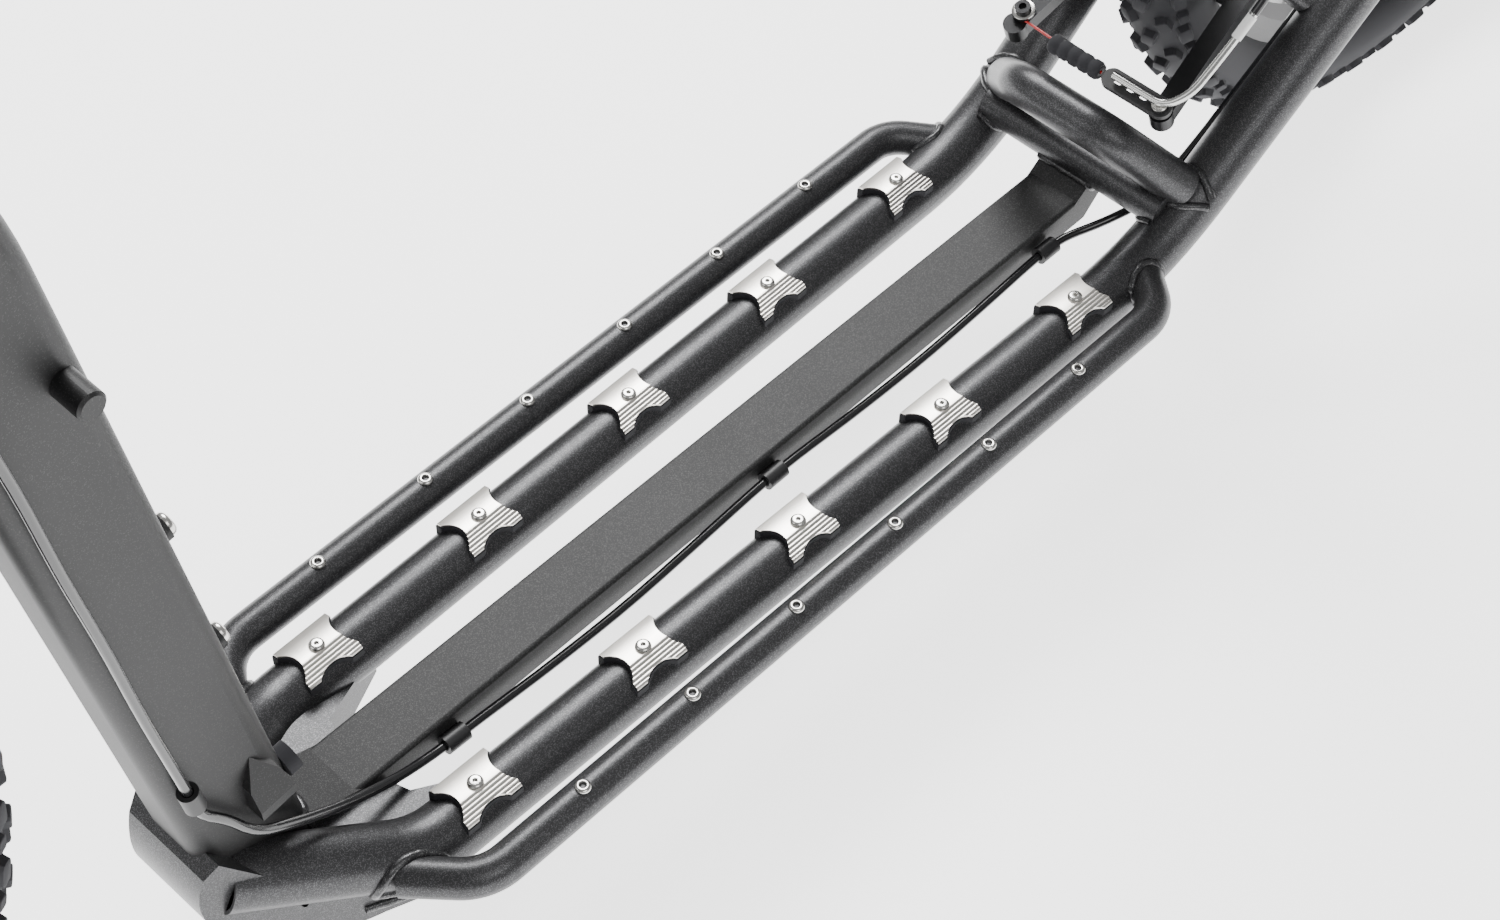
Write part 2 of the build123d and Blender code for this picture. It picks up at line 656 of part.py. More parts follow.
def lever_set(side):
    """One brake lever: the perch clamped to the bar, its pivot pin and the blade."""
    word = "left" if side > 0 else "right"
    seat = bar_outer(side, 180)
    along = unit(bar_outer(side, 120), bar_outer(side, 200))
    clamp = ring(seat - along * 8, seat + along * 8, 16, bar_radius + 0.02)
    ahead = Vector(0.94, 0, -0.34)
    pivot = seat + ahead * 34 - Vector(0, side * 4, 0)
    axis_up = Vector(0.34, 0, 0.94)
    arm = rod(seat + ahead * 14, pivot - Vector(0, side * 10, 0), 6.0)
    fork_low = rod(pivot - axis_up * 9, pivot - axis_up * 4.6, 9)
    fork_high = rod(pivot + axis_up * 4.6, pivot + axis_up * 9, 9)
    back = pivot - Vector(0, side * 14, 0) - axis_up * 9
    spine = rod(back, back + axis_up * 18, 5)
    web = Plane(origin=pivot - Vector(0, side * 8, 0), x_dir=(0, 1, 0), z_dir=axis_up)
    cheeks = extrude(web * Rectangle(16, 12), 9, both=True) - extrude(web * Rectangle(60, 60), 4.6, both=True)
    pin = rod(pivot - axis_up * 9.5, pivot + axis_up * 9.5, 2.5)
    perch = clamp + arm + spine + fork_low + fork_high + cheeks
    perch -= rod(seat - along * 60, seat + along * 60, bar_radius + 0.02)
    perch -= rod(pivot - axis_up * 4.6, pivot + axis_up * 4.6, 8.6)
    perch += pin
    barrel_start = pivot - Vector(0, side * 19.02, 0)
    barrel = rod(barrel_start, barrel_start - Vector(0, side * 16, 0), 4.5)
    keep(f"brake_perch_{word}", group([perch, barrel]))
    hub = rod(pivot - axis_up * 4.2, pivot + axis_up * 4.2, 7)
    knee = pivot + ahead * 10 + Vector(0, side * 26, 0)
    tip = knee + Vector(-0.10, side * 0.995, 0) * 82
    blade = pipe([pivot, knee, tip], [18], 4.0)
    ball = Pos(*tip) * Sphere(5.5)
    lever = hub + blade + ball - rod(pivot - axis_up * 20, pivot + axis_up * 20, 2.5 + running_gap)
    keep(f"brake_lever_{word}", lever)
    return barrel_start - Vector(0, side * 16.02, 0), pivot, axis_up


left_exit, left_pivot, lever_axis = lever_set(1)
right_exit, right_pivot, _ = lever_set(-1)
print("lever pivots", left_pivot, right_pivot, "axis", lever_axis)


# ---------------------------------------------------------------- rim brakes
def brake_set(name, centre_tip, reach, normal, leg_spot, trunks, noodle_way):
    """A pair of long brake arms on studs, with pads, link, boot, noodle and wire.

    The centre tip lies between the arms' free ends, reach points along the arms, the normal
    points away from the wheel, leg_spot is on the left tube that carries the stud and the
    trunks are the solids the studs are welded to.
    """
    pivot = centre_tip - reach * brake_arm_length
    tips = {}
    mounts = []
    for side, word in ((1, "left"), (-1, "right")):
        hinge = pivot + Vector(0, side * brake_pivot_half_gap, 0)
        tip = centre_tip + Vector(0, side * brake_tip_half_gap, 0)
        tips[word] = tip
        tube_spot = Vector(leg_spot.X, side * leg_spot.Y, leg_spot.Z)
        base = hinge - normal * 9.5
        mount = rod(tube_spot, base - normal * 8.5, 8.5) + rod(base - normal * 9, base, 9)
        mount += rod(base - normal * 2, hinge + normal * 10, 4.0)
        for trunk in trunks:
            mount -= trunk
        mounts.append(max(mount.solids(), key=lambda solid: solid.volume))
        run = (tip - hinge).normalized()
        face = Plane(origin=hinge, x_dir=run, z_dir=normal)
        arm = extrude(face * Pos(brake_arm_length / 2, 0) * Rectangle(brake_arm_length, 12), 5, both=True)
        arm += rod(hinge - normal * 9, hinge + normal * 9, 9.5)
        arm += rod(tip - normal * 5, tip + normal * 5, 7)
        arm -= rod(hinge - normal * 20, hinge + normal * 20, 4.0 + running_gap)
        post = hinge + run * pad_offset
        pad_face = rim_width / 2 + pad_gap
        arm += rod(post, Vector(post.X, side * (pad_face + 10), post.Z), 4.0)
        pad_middle = Vector(post.X, side * (pad_face + 4.975), post.Z)
        pad_plane = Plane(origin=pad_middle - normal * 30, x_dir=(0, 1, 0), z_dir=normal)
        members = [extrude(pad_plane * Rectangle(9.95, 11), 60)]
        if side < 0:
            anchor = tip - run * 8
            arm -= rod(anchor - normal * 20, anchor + normal * 20, 2.6)
            bolt = rod(anchor - normal * 8, anchor + normal * 8.6, 2.5)
            bolt += rod(anchor + normal * 7.6, anchor + normal * 8.8, 7)
            bolt += rod(anchor + normal * 8.7, anchor + normal * 13, 4.6)
            bolt -= rod(anchor + normal * 10.5, anchor + normal * 14, 2.3)
            members.append(bolt)
            wire_end = anchor + normal * 5.95 + reach * 3.4 - Vector(0, 4, 0)
        keep(f"{name}_brake_arm_{word}", group([arm] + members))
    keep(f"{name}_brake_mounts", group(mounts))

    pin = tips["left"]
    link_height = 9.0
    plane = Plane(origin=pin + normal * link_height - Vector(0, 16.5, 0), x_dir=(0, 1, 0), z_dir=normal)
    link = extrude(plane * SlotCenterToCenter(34, 13), 1.6, both=True)
    for step in (-13, -4, 5):
        link -= extrude(plane * Pos(step, 0) * SlotCenterToCenter(2.6, 3.4), 3, both=True)
    link += rod(pin + normal * 5.05, pin + normal * 12, 2.4)
    link += rod(pin + normal * 10.6, pin + normal * 12, 4.6)
    wire_start = pin + normal * link_height - Vector(0, 41.5, 0)
    wire_run = unit(wire_start, wire_end)
    keep(f"{name}_brake_wire", rod(wire_start, wire_end, wire_radius))
    boot_start = wire_start + wire_run * 0.5
    boot = ring(boot_start, boot_start + wire_run * 36, 4.6, wire_radius + 0.4)
    keep(f"{name}_brake_link", group([link, boot]))
    bends = [(-32, 0, 15), (4, 0, 15), (14, 12, 21), (18, 36, 32), (22, 60, 46)]
    route = [pin + Vector(0, y, 0) + reach * noodle_way * r + normal * n for y, r, n in bends]
    keep(f"{name}_brake_noodle", cable(f"{name}_brake_noodle", route, 2.4))
    out = unit(route[-2], route[-1])
    return route[-1] + out * 0.3, out


rear_reach = Vector(cos(radians(21)), 0, -sin(radians(21)))
rear_normal = Vector(sin(radians(21)), 0, cos(radians(21)))
rear_noodle_end, rear_noodle_out = brake_set(
    "rear", Vector(-360, 0, 190), rear_reach, rear_normal, stay_point(-492), [main_outer, right_outer], -1)

leg_run = unit(leg_line(1.0), leg_line(0.0))
front_reach = Vector(leg_run.X, 0, leg_run.Z).normalized()
front_normal = Vector(front_reach.Z, 0, -front_reach.X)
boss_share = 1.0 - 257 / (leg_line(1.0) - leg_line(0.0)).length
boss_spot = leg_line(boss_share)
front_centre_tip = Vector(boss_spot.X, 0, boss_spot.Z) + front_normal * 30 + front_reach * brake_arm_length
front_noodle_end, front_noodle_out = brake_set(
    "front", front_centre_tip, front_reach, front_normal, boss_spot, [pieces["fork"]], 1)

# ---------------------------------------------------------------- cables that bend as the bike steers or brakes
tail_points = [
    loop_top,
    Vector(-456, 77, 333),
    Vector(-428, 77, 318),
    rear_noodle_end + rear_noodle_out * 26,
    rear_noodle_end,
]
keep("rear_brake_housing_tail", cable("rear_brake_housing_tail", tail_points, housing_radius))

front_cable_points = [
    left_exit,
    left_exit + Vector(0, -26, 0),
    Vector(575, 92, 962),
    Vector(590, 80, 925),
    Vector(598, 75, 880),
    Vector(596, 74, 835),
    front_noodle_end + front_noodle_out * 38,
    front_noodle_end,
]
keep("front_brake_housing", cable("front_brake_housing", front_cable_points, housing_radius))

mast_inlet = mast_spot(445.3, guide_ahead, guide_y)
loop_points = [
    right_exit,
    right_exit + Vector(0, 28, 0),
    Vector(582, -78, 966),
    Vector(602, -40, 932),
    Vector(604, -2, 886),
    Vector(588, 28, 836),
    Vector(556, 44, 786),
    Vector(512, 48, 738),
    Vector(464, 44, 690),
    Vector(420, 38, 640),
    Vector(385, 32, 592),
    mast_spot(475, guide_ahead + 0.4, guide_y + 0.6),
    mast_inlet,
]
keep("rear_brake_loop", cable("rear_brake_loop", loop_points, housing_radius))

# ---------------------------------------------------------------- rear stand: a leg on each side
plate_face = axle_plate_y + plate_thick
stand_hub = Vector(stand_pivot[0], 0, stand_pivot[1])
eye_start = Vector(0, plate_face + 0.5, 0)
eye_end = Vector(0, plate_face + 16.5, 0)
foot_middle = Vector(stand_hub.X + stand_lead, stand_foot_y, stand_foot_radius)
leg_shoulder = Vector(stand_hub.X + 1, stand_shoulder_y, stand_hub.Z - 36)
leg_points = [stand_hub + eye_end - Vector(0, 2, 0), leg_shoulder, foot_middle]
leg = pipe(leg_points, [14], stand_tube_radius, stand_tube_radius - 2)
leg += rod(stand_hub + eye_start, stand_hub + eye_end, 11.0)
leg -= rod(stand_hub, stand_hub + Vector(0, plate_face + 12, 0), 5.0 + running_gap)
foot_plug = rod(foot_middle, leg_shoulder, stand_tube_radius + 0.02)
foot = Pos(*foot_middle) * Sphere(stand_foot_radius) - foot_plug
stud = rod(stand_hub + Vector(0, plate_face, 0), stand_hub + Vector(0, plate_face + 11, 0), 5.0)
keep("stand_studs", group([stud, mirrored(stud)]))
keep("stand_leg_left", group([leg, foot]))
keep("stand_leg_right", group([mirrored(leg), mirrored(foot)]))

os.makedirs("parts", exist_ok=True)
for name, shape in pieces.items():
    export_step(shape, f"parts/{name}.step")
print(len(pieces), "nodes")
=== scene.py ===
"""Looks of the low-deck cargo bicycle: finishes for its parts, and modelled plates, tyres, welds and cables.

Metres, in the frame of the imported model: +X forwards, +Y to the rider's left, +Z up, origin on the ground.
"""
from __future__ import annotations

import json
import logging
import math
from dataclasses import dataclass, field
from enum import Enum
from typing import Callable, Sequence

import bmesh
import bpy
from mathutils import Euler, Matrix, Vector
from mathutils.bvhtree import BVHTree


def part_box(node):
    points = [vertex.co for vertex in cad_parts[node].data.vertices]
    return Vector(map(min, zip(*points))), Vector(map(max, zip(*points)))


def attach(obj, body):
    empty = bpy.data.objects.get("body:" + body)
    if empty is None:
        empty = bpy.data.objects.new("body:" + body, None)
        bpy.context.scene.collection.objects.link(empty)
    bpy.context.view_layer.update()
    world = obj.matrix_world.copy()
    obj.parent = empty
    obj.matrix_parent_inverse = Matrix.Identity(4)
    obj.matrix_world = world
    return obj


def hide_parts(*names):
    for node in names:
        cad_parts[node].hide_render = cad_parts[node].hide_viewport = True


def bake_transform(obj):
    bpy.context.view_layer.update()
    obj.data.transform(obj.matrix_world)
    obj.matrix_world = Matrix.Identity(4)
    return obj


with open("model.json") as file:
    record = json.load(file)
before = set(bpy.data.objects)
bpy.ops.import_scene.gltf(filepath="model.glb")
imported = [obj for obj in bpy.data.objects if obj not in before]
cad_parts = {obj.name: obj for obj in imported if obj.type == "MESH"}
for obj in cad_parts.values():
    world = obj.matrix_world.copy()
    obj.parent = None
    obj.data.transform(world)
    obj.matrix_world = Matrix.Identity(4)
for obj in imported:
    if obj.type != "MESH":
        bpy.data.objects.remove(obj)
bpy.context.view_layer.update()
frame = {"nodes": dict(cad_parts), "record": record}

log = logging.getLogger("bicycle")
logging.basicConfig(level=logging.INFO, format="%(message)s")

MM = 0.001
Colour = tuple[float, float, float]
Point = tuple[float, float, float]
CLOUD_SHARE = 0.6
GRAIN_SHARE = 0.8
TONE_DROP = 0.2
GLINT_SHARE = 0.75
COAT_ROUGHNESS = 0.12


# ------------------------------------------------------------------ node helpers
class Value:
    """A node socket that can be used in arithmetic; each operator adds a Math node."""

    def __init__(self, graph: "Graph", socket: bpy.types.NodeSocket) -> None:
        """Keep the graph and the socket."""
        self.graph = graph
        self.socket = socket

    def _math(self, operation: str, first: "Value | float", second: "Value | float") -> "Value":
        """Add one Math node.

        Args:
            operation: Blender's name of the operation.
            first: the left operand.
            second: the right operand.

        Returns:
            The node's result.
        """
        return self.graph.add("ShaderNodeMath", {"operation": operation}, {0: first, 1: second})

    def __add__(self, other: "Value | float") -> "Value":
        """Sum."""
        return self._math("ADD", self, other)

    def __sub__(self, other: "Value | float") -> "Value":
        """Difference."""
        return self._math("SUBTRACT", self, other)

    def __mul__(self, other: "Value | float") -> "Value":
        """Product."""
        return self._math("MULTIPLY", self, other)

    def __gt__(self, other: float) -> "Value":
        """1 where the value is above the number, else 0."""
        return self._math("GREATER_THAN", self, other)

    def clamped(self) -> "Value":
        """The value kept between 0 and 1."""
        return self._math("MINIMUM", self._math("MAXIMUM", self, 0.0), 1.0)


class Graph:
    """Builds a shader or geometry node tree, one node at a time."""

    def __init__(self, tree: bpy.types.NodeTree) -> None:
        """Keep the tree."""
        self.tree = tree

    def add(self, kind: str, settings: dict | None = None, values: dict | None = None,
            output: int | str = 0) -> Value:
        """Add a node.

        Args:
            kind: the node's type.
            settings: its own properties; "stops" fills a colour ramp with (position, grey) pairs.
            values: numbers or Values for its input sockets, by name or index.
            output: the output socket to return.

        Returns:
            The chosen output.
        """
        node = self.tree.nodes.new(kind)
        for key, setting in (settings or {}).items():
            if key == "stops":
                for index, (place, grey) in enumerate(setting):
                    stops = node.color_ramp.elements
                    stop = stops[index] if index < len(stops) else stops.new(place)
                    stop.position = place
                    stop.color = (grey, grey, grey, 1)
            else:
                setattr(node, key, setting)
        for key, value in (values or {}).items():
            if isinstance(value, Value):
                self.tree.links.new(value.socket, node.inputs[key])
            else:
                node.inputs[key].default_value = value
        return Value(self, node.outputs[output]) if node.outputs else Value(self, node.inputs[0])


def rgba(colour: Colour) -> tuple[float, float, float, float]:
    """The colour with full alpha."""
    return (*colour, 1.0)


# ------------------------------------------------------------------ finishes
@dataclass(frozen=True)
class Finish:
    """One surface finish, with its variation over the surface.

    Sizes of patterns are in features per metre, in the piece's own coordinates or on its UV map.
    """

    name: str
    base: Colour
    shade: Colour
    metallic: float = 0.0
    roughness: float = 0.5
    roughness_spread: float = 0.1
    cloud_scale: float = 14.0
    grain_scale: float = 1400.0
    grain_stretch: Point = (1.0, 1.0, 1.0)
    grain_depth: float = 0.00003
    flake: float = 0.0
    flake_colour: Colour = (0.5, 0.5, 0.52)
    flake_scale: float = 2600.0
    coat: float = 0.0
    on_uv: bool = False

    def build(self) -> bpy.types.Material:
        """Make the material, or return it if it is already there."""
        ready = bpy.data.materials.get(self.name)
        if ready:
            return ready
        material = bpy.data.materials.new(self.name)
        material.use_nodes = True
        material.node_tree.nodes.clear()
        graph = Graph(material.node_tree)
        place = graph.add("ShaderNodeTexCoord", output="UV" if self.on_uv else "Object")
        clouds = graph.add("ShaderNodeTexNoise", {}, {
            "Vector": place, "Scale": self.cloud_scale, "Detail": 3.0})
        stretched = graph.add("ShaderNodeMapping", {}, {"Vector": place, "Scale": self.grain_stretch})
        grain = graph.add("ShaderNodeTexNoise", {}, {
            "Vector": stretched, "Scale": self.grain_scale, "Detail": 4.0, "Roughness": 0.6})
        tone = (clouds * CLOUD_SHARE + grain * GRAIN_SHARE - TONE_DROP).clamped()
        colour = graph.add("ShaderNodeMix", {"data_type": "RGBA"}, {
            0: tone, 6: rgba(self.base), 7: rgba(self.shade)}, output=2)
        if self.flake:
            cells = graph.add("ShaderNodeTexVoronoi", {}, {
                "Vector": place, "Scale": self.flake_scale}, "Color")
            lit = graph.add("ShaderNodeSeparateColor", {}, {"Color": cells})
            glints = (lit > 1.0 - self.flake) * GLINT_SHARE
            colour = graph.add("ShaderNodeMix", {"data_type": "RGBA"}, {
                0: glints, 6: colour, 7: rgba(self.flake_colour)}, output=2)
        spread = self.roughness_spread
        rough = (clouds - 0.5) * spread + (grain - 0.5) * spread + self.roughness
        bump = graph.add("ShaderNodeBump", {}, {
            "Height": grain, "Distance": self.grain_depth, "Strength": 1.0})
        shader = graph.add("ShaderNodeBsdfPrincipled", {}, {
            "Base Color": colour, "Roughness": rough.clamped(), "Normal": bump, "Metallic": self.metallic,
            "Coat Weight": self.coat, "Coat Roughness": COAT_ROUGHNESS})
        graph.add("ShaderNodeOutputMaterial", {}, {"Surface": shader})
        return material


class Look(Enum):
    """The finishes of the bicycle."""

    TUBE = Finish("gunmetal_powder_coat", (0.050, 0.050, 0.052), (0.032, 0.032, 0.034), 0.55, 0.38, 0.05,
                  grain_depth=0.000008, flake=0.20, flake_colour=(0.15, 0.15, 0.155), flake_scale=3200.0,
                  coat=0.06)
    MAST = Finish("anthracite_satin", (0.013, 0.013, 0.0135), (0.009, 0.009, 0.0095), 0.30, 0.50, 0.05,
                  flake=0.08, flake_colour=(0.04, 0.04, 0.04))
    BEAM = Finish("speckled_matt_grey", (0.026, 0.026, 0.0265), (0.018, 0.018, 0.0185), 0.25, 0.56, 0.05,
                  flake=0.18, flake_colour=(0.075, 0.075, 0.075))
    WELD = Finish("painted_weld", (0.052, 0.052, 0.054), (0.025, 0.025, 0.027), 0.55, 0.33, 0.12,
                  grain_scale=420.0, grain_depth=0.0002, flake=0.12, flake_colour=(0.2, 0.2, 0.2), coat=0.2)
    PLATE = Finish("brushed_warm_silver", (0.92, 0.89, 0.84), (0.74, 0.71, 0.66), 1.0, 0.32, 0.12,
                   cloud_scale=60.0, grain_scale=500.0, grain_stretch=(0.06, 2.4, 1.0),
                   grain_depth=0.00001, on_uv=True)
    SCREW = Finish("turned_stainless", (0.78, 0.77, 0.74), (0.52, 0.51, 0.49), 1.0, 0.22, 0.10,
                   grain_depth=0.00001)
    PAD = Finish("black_rubber", (0.014, 0.014, 0.015), (0.028, 0.027, 0.026), 0.0, 0.70, 0.15)
    TYRE = Finish("tyre_rubber", (0.018, 0.018, 0.018), (0.040, 0.039, 0.037), 0.0, 0.62, 0.20,
                  grain_scale=700.0, grain_depth=0.00008)
    ALLOY = Finish("black_anodised", (0.018, 0.018, 0.019), (0.030, 0.030, 0.032), 0.6, 0.34, 0.12)
    FORK = Finish("satin_black_paint", (0.022, 0.022, 0.023), (0.032, 0.032, 0.034), 0.3, 0.36, 0.08,
                  flake=0.06, flake_colour=(0.08, 0.08, 0.08), coat=0.15)
    HOUSING = Finish("glossy_black_sheath", (0.008, 0.008, 0.009), (0.014, 0.014, 0.015), 0.0, 0.20, 0.08,
                     grain_scale=500.0, grain_depth=0.00001, coat=0.5)
    CLIP = Finish("black_nylon", (0.014, 0.014, 0.015), (0.026, 0.026, 0.027), 0.0, 0.45, 0.15)
    WIRE = Finish("red_coated_wire", (0.62, 0.012, 0.010), (0.40, 0.006, 0.006), 0.0, 0.35, 0.1, coat=0.3)
    NOODLE = Finish("bright_bent_tube", (0.72, 0.72, 0.70), (0.50, 0.50, 0.49), 1.0, 0.22, 0.08)
    SLEEVE = Finish("milky_sleeve", (0.86, 0.86, 0.84), (0.70, 0.70, 0.69), 0.0, 0.25, 0.08, coat=0.3)

    def dress(self, piece: bpy.types.Object) -> bpy.types.Object:
        """Give the piece this finish as its only material."""
        piece.data.materials.clear()
        piece.data.materials.append(self.value.build())
        return piece


SLOT_LOOKS: dict[str, Look] = {
    "frame_paint": Look.TUBE, "mast_paint": Look.MAST, "beam_paint": Look.BEAM, "plate_silver": Look.PLATE,
    "stainless": Look.SCREW, "black_rubber": Look.PAD, "tyre_rubber": Look.TYRE, "black_alloy": Look.ALLOY,
    "fork_paint": Look.FORK, "housing_black": Look.HOUSING, "clip_black": Look.CLIP, "wire_red": Look.WIRE,
    "noodle_silver": Look.NOODLE,
}


def dress_metalwork() -> None:
    """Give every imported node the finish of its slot."""
    slots = {part["node"]: part["material_slot"] for part in frame["record"]["subparts"]}
    for name, node in frame["nodes"].items():
        look = SLOT_LOOKS[slots[name]]
        if node.data.materials:
            for index in range(len(node.data.materials)):
                node.data.materials[index] = look.value.build()
        else:
            node.data.materials.append(look.value.build())
    log.info("metalwork: %d nodes dressed", len(frame["nodes"]))


# ------------------------------------------------------------------ mesh helpers
def new_object(name: str, mesh: bpy.types.Mesh) -> bpy.types.Object:
    """Link a new object that shows the mesh."""
    piece = bpy.data.objects.new(name, mesh)
    bpy.context.scene.collection.objects.link(piece)
    return piece


def from_bmesh(name: str, work: bmesh.types.BMesh, smooth_below: float = 35.0) -> bpy.types.Object:
    """Turn a bmesh into an object with smooth shading across gentle edges.

    Args:
        name: the object's name.
        work: the mesh data, freed here.
        smooth_below: edges flatter than this angle, in degrees, look smooth.

    Returns:
        The new object.
    """
    bmesh.ops.recalc_face_normals(work, faces=work.faces)
    for face in work.faces:
        face.smooth = True
    limit = math.radians(smooth_below)
    for edge in work.edges:
        edge.smooth = len(edge.link_faces) == 2 and edge.calc_face_angle(0.0) < limit
    mesh = bpy.data.meshes.new(name)
    work.to_mesh(mesh)
    work.free()
    return new_object(name, mesh)


def along(direction: Vector) -> Matrix:
    """A turn that takes +Z to the direction."""
    return direction.to_track_quat("Z", "Y").to_matrix().to_4x4()


def lathe(work: bmesh.types.BMesh, outline: Sequence[tuple[float, float]], place: Matrix,
          segments: int = 32, closed: bool = False) -> None:
    """Add a turned shape to a bmesh.

    Args:
        work: the mesh to add to.
        outline: (radius, height) pairs about the local Z axis; radius 0 closes an end.
        place: where the local frame goes.
        segments: facets round the axis.
        closed: whether the outline is a ring.
    """
    rings = []
    for radius, height in outline:
        if radius <= 0:
            rings.append([work.verts.new(place @ Vector((0, 0, height)))] * segments)
        else:
            turns = [2 * math.pi * step / segments for step in range(segments)]
            rings.append([work.verts.new(place @ Vector((radius * math.cos(t), radius * math.sin(t), height)))
                          for t in turns])
    pairs = list(zip(rings, rings[1:] + rings[:1])) if closed else list(zip(rings, rings[1:]))
    for low, high in pairs:
        for step in range(segments):
            corner = [low[step], low[(step + 1) % segments], high[(step + 1) % segments], high[step]]
            face = list(dict.fromkeys(corner))
            if len(face) > 2:
                work.faces.new(face)


def settle(name: str, carrier: bpy.types.Object) -> bpy.types.Object:
    """Turn a carrier's evaluated geometry into a plain mesh object and remove the carrier."""
    bpy.context.view_layer.update()
    ready = carrier.evaluated_get(bpy.context.evaluated_depsgraph_get())
    mesh = bpy.data.meshes.new_from_object(ready)
    mesh.name = name
    bpy.data.objects.remove(carrier)
    return new_object(name, mesh)


def join(name: str, parts: Sequence[bpy.types.Object]) -> bpy.types.Object:
    """Merge several plain objects into one."""
    work = bmesh.new()
    for part in parts:
        work.from_mesh(part.data)
    mesh = bpy.data.meshes.new(name)
    work.to_mesh(mesh)
    work.free()
    for material in parts[0].data.materials:
        mesh.materials.append(material)
    for part in parts:
        bpy.data.objects.remove(part)
    return new_object(name, mesh)


# ------------------------------------------------------------------ geometry node trees
class Repeater:
    """A geometry node tree with named inputs that is run once on a carrier object."""

    def __init__(self, name: str, inputs: dict[str, str],
                 rule: Callable[[Graph, dict[str, Value]], Value]) -> None:
        """Build the tree.

        Args:
            name: the tree's name.
            inputs: socket types by input name.
            rule: makes the geometry before it is realised, from the graph and the inputs.
        """
        self.tree = bpy.data.node_groups.new(name, "GeometryNodeTree")
        self.keys = {}
        self.tree.interface.new_socket("Geometry", in_out="INPUT", socket_type="NodeSocketGeometry")
        for label, kind in {**inputs, "Material": "NodeSocketMaterial"}.items():
            socket = self.tree.interface.new_socket(label, in_out="INPUT", socket_type=kind)
            self.keys[label] = socket.identifier
        self.tree.interface.new_socket("Geometry", in_out="OUTPUT", socket_type="NodeSocketGeometry")
        graph = Graph(self.tree)
        source = self.tree.nodes.new("NodeGroupInput")
        sockets = {socket.name: Value(graph, socket) for socket in source.outputs if socket.name}
        shape = rule(graph, sockets)
        shape = graph.add("GeometryNodeRealizeInstances", {}, {"Geometry": shape})
        shape = graph.add("GeometryNodeSetMaterial", {}, {"Geometry": shape, "Material": sockets["Material"]})
        graph.add("NodeGroupOutput", {}, {0: shape})

    def run(self, name: str, look: Look, mesh: bpy.types.Mesh | None = None,
            **values: object) -> bpy.types.Object:
        """Run the tree and keep its result as a plain mesh.

        Args:
            name: the new piece's name.
            look: the finish set on it.
            mesh: the carrier's own mesh, if the tree reads it.
            values: the named inputs.

        Returns:
            The finished piece.
        """
        carrier = new_object(name + "_carrier", mesh or bpy.data.meshes.new(name))
        modifier = carrier.modifiers.new("repeat", "NODES")
        modifier.node_group = self.tree
        modifier[self.keys["Material"]] = look.value.build()
        for label, value in values.items():
            modifier[self.keys[label]] = value
        return settle(name, carrier)


def row_rule(graph: Graph, given: dict[str, Value]) -> Value:
    """Copies of a template at even steps from a start, all turned alike."""
    index = graph.add("GeometryNodeInputIndex")
    step = graph.add("ShaderNodeVectorMath", {"operation": "SCALE"}, {0: given["Step"], 3: index})
    place = graph.add("ShaderNodeVectorMath", {}, {0: given["Start"], 1: step})
    points = graph.add("GeometryNodePoints", {}, {"Count": given["Count"], "Position": place})
    template = graph.add("GeometryNodeObjectInfo", {}, {"Object": given["Template"]}, "Geometry")
    return graph.add("GeometryNodeInstanceOnPoints", {}, {
        "Points": points, "Instance": template, "Rotation": given["Turn"]})


def ring_rule(graph: Graph, given: dict[str, Value]) -> Value:
    """Copies of a template turned evenly about a line along Y through the centre."""
    index = graph.add("GeometryNodeInputIndex")
    share = graph.add("ShaderNodeMath", {"operation": "DIVIDE"}, {0: index, 1: given["Count"]})
    turn = graph.add("ShaderNodeCombineXYZ", {}, {"Y": share * (2 * math.pi)})
    points = graph.add("GeometryNodePoints", {}, {"Count": given["Count"], "Position": given["Centre"]})
    template = graph.add("GeometryNodeObjectInfo", {}, {"Object": given["Template"]}, "Geometry")
    return graph.add("GeometryNodeInstanceOnPoints", {}, {
        "Points": points, "Instance": template, "Rotation": turn})


def bead_rule(graph: Graph, given: dict[str, Value]) -> Value:
    """A bead of uneven thickness along the carrier's edges."""
    path = graph.add("GeometryNodeMeshToCurve", {}, {"Mesh": given["Geometry"]})
    path = graph.add("GeometryNodeResampleCurve", {"mode": "LENGTH"}, {"Curve": path, "Length": 0.0016})
    section = graph.add("GeometryNodeCurvePrimitiveCircle", {}, {"Resolution": 10, "Radius": given["Radius"]})
    bead = graph.add("GeometryNodeCurveToMesh", {}, {"Curve": path, "Profile Curve": section})
    normal = graph.add("GeometryNodeInputNormal")
    lumps = graph.add("ShaderNodeTexNoise", {}, {"Scale": 210.0, "Detail": 2.0})
    push = graph.add("ShaderNodeVectorMath", {"operation": "SCALE"}, {
        0: normal, 3: (lumps - 0.5) * given["Ripple"]})
    bead = graph.add("GeometryNodeSetPosition", {}, {"Geometry": bead, "Offset": push})
    return graph.add("GeometryNodeSetShadeSmooth", {}, {"Geometry": bead})


ROW = Repeater("row of pieces", {
    "Template": "NodeSocketObject", "Count": "NodeSocketInt", "Start": "NodeSocketVector",
    "Step": "NodeSocketVector", "Turn": "NodeSocketVector"}, row_rule)
RING = Repeater("ring of pieces", {
    "Template": "NodeSocketObject", "Count": "NodeSocketInt", "Centre": "NodeSocketVector"}, ring_rule)
BEAD = Repeater("weld bead", {"Radius": "NodeSocketFloat", "Ripple": "NodeSocketFloat"}, bead_rule)


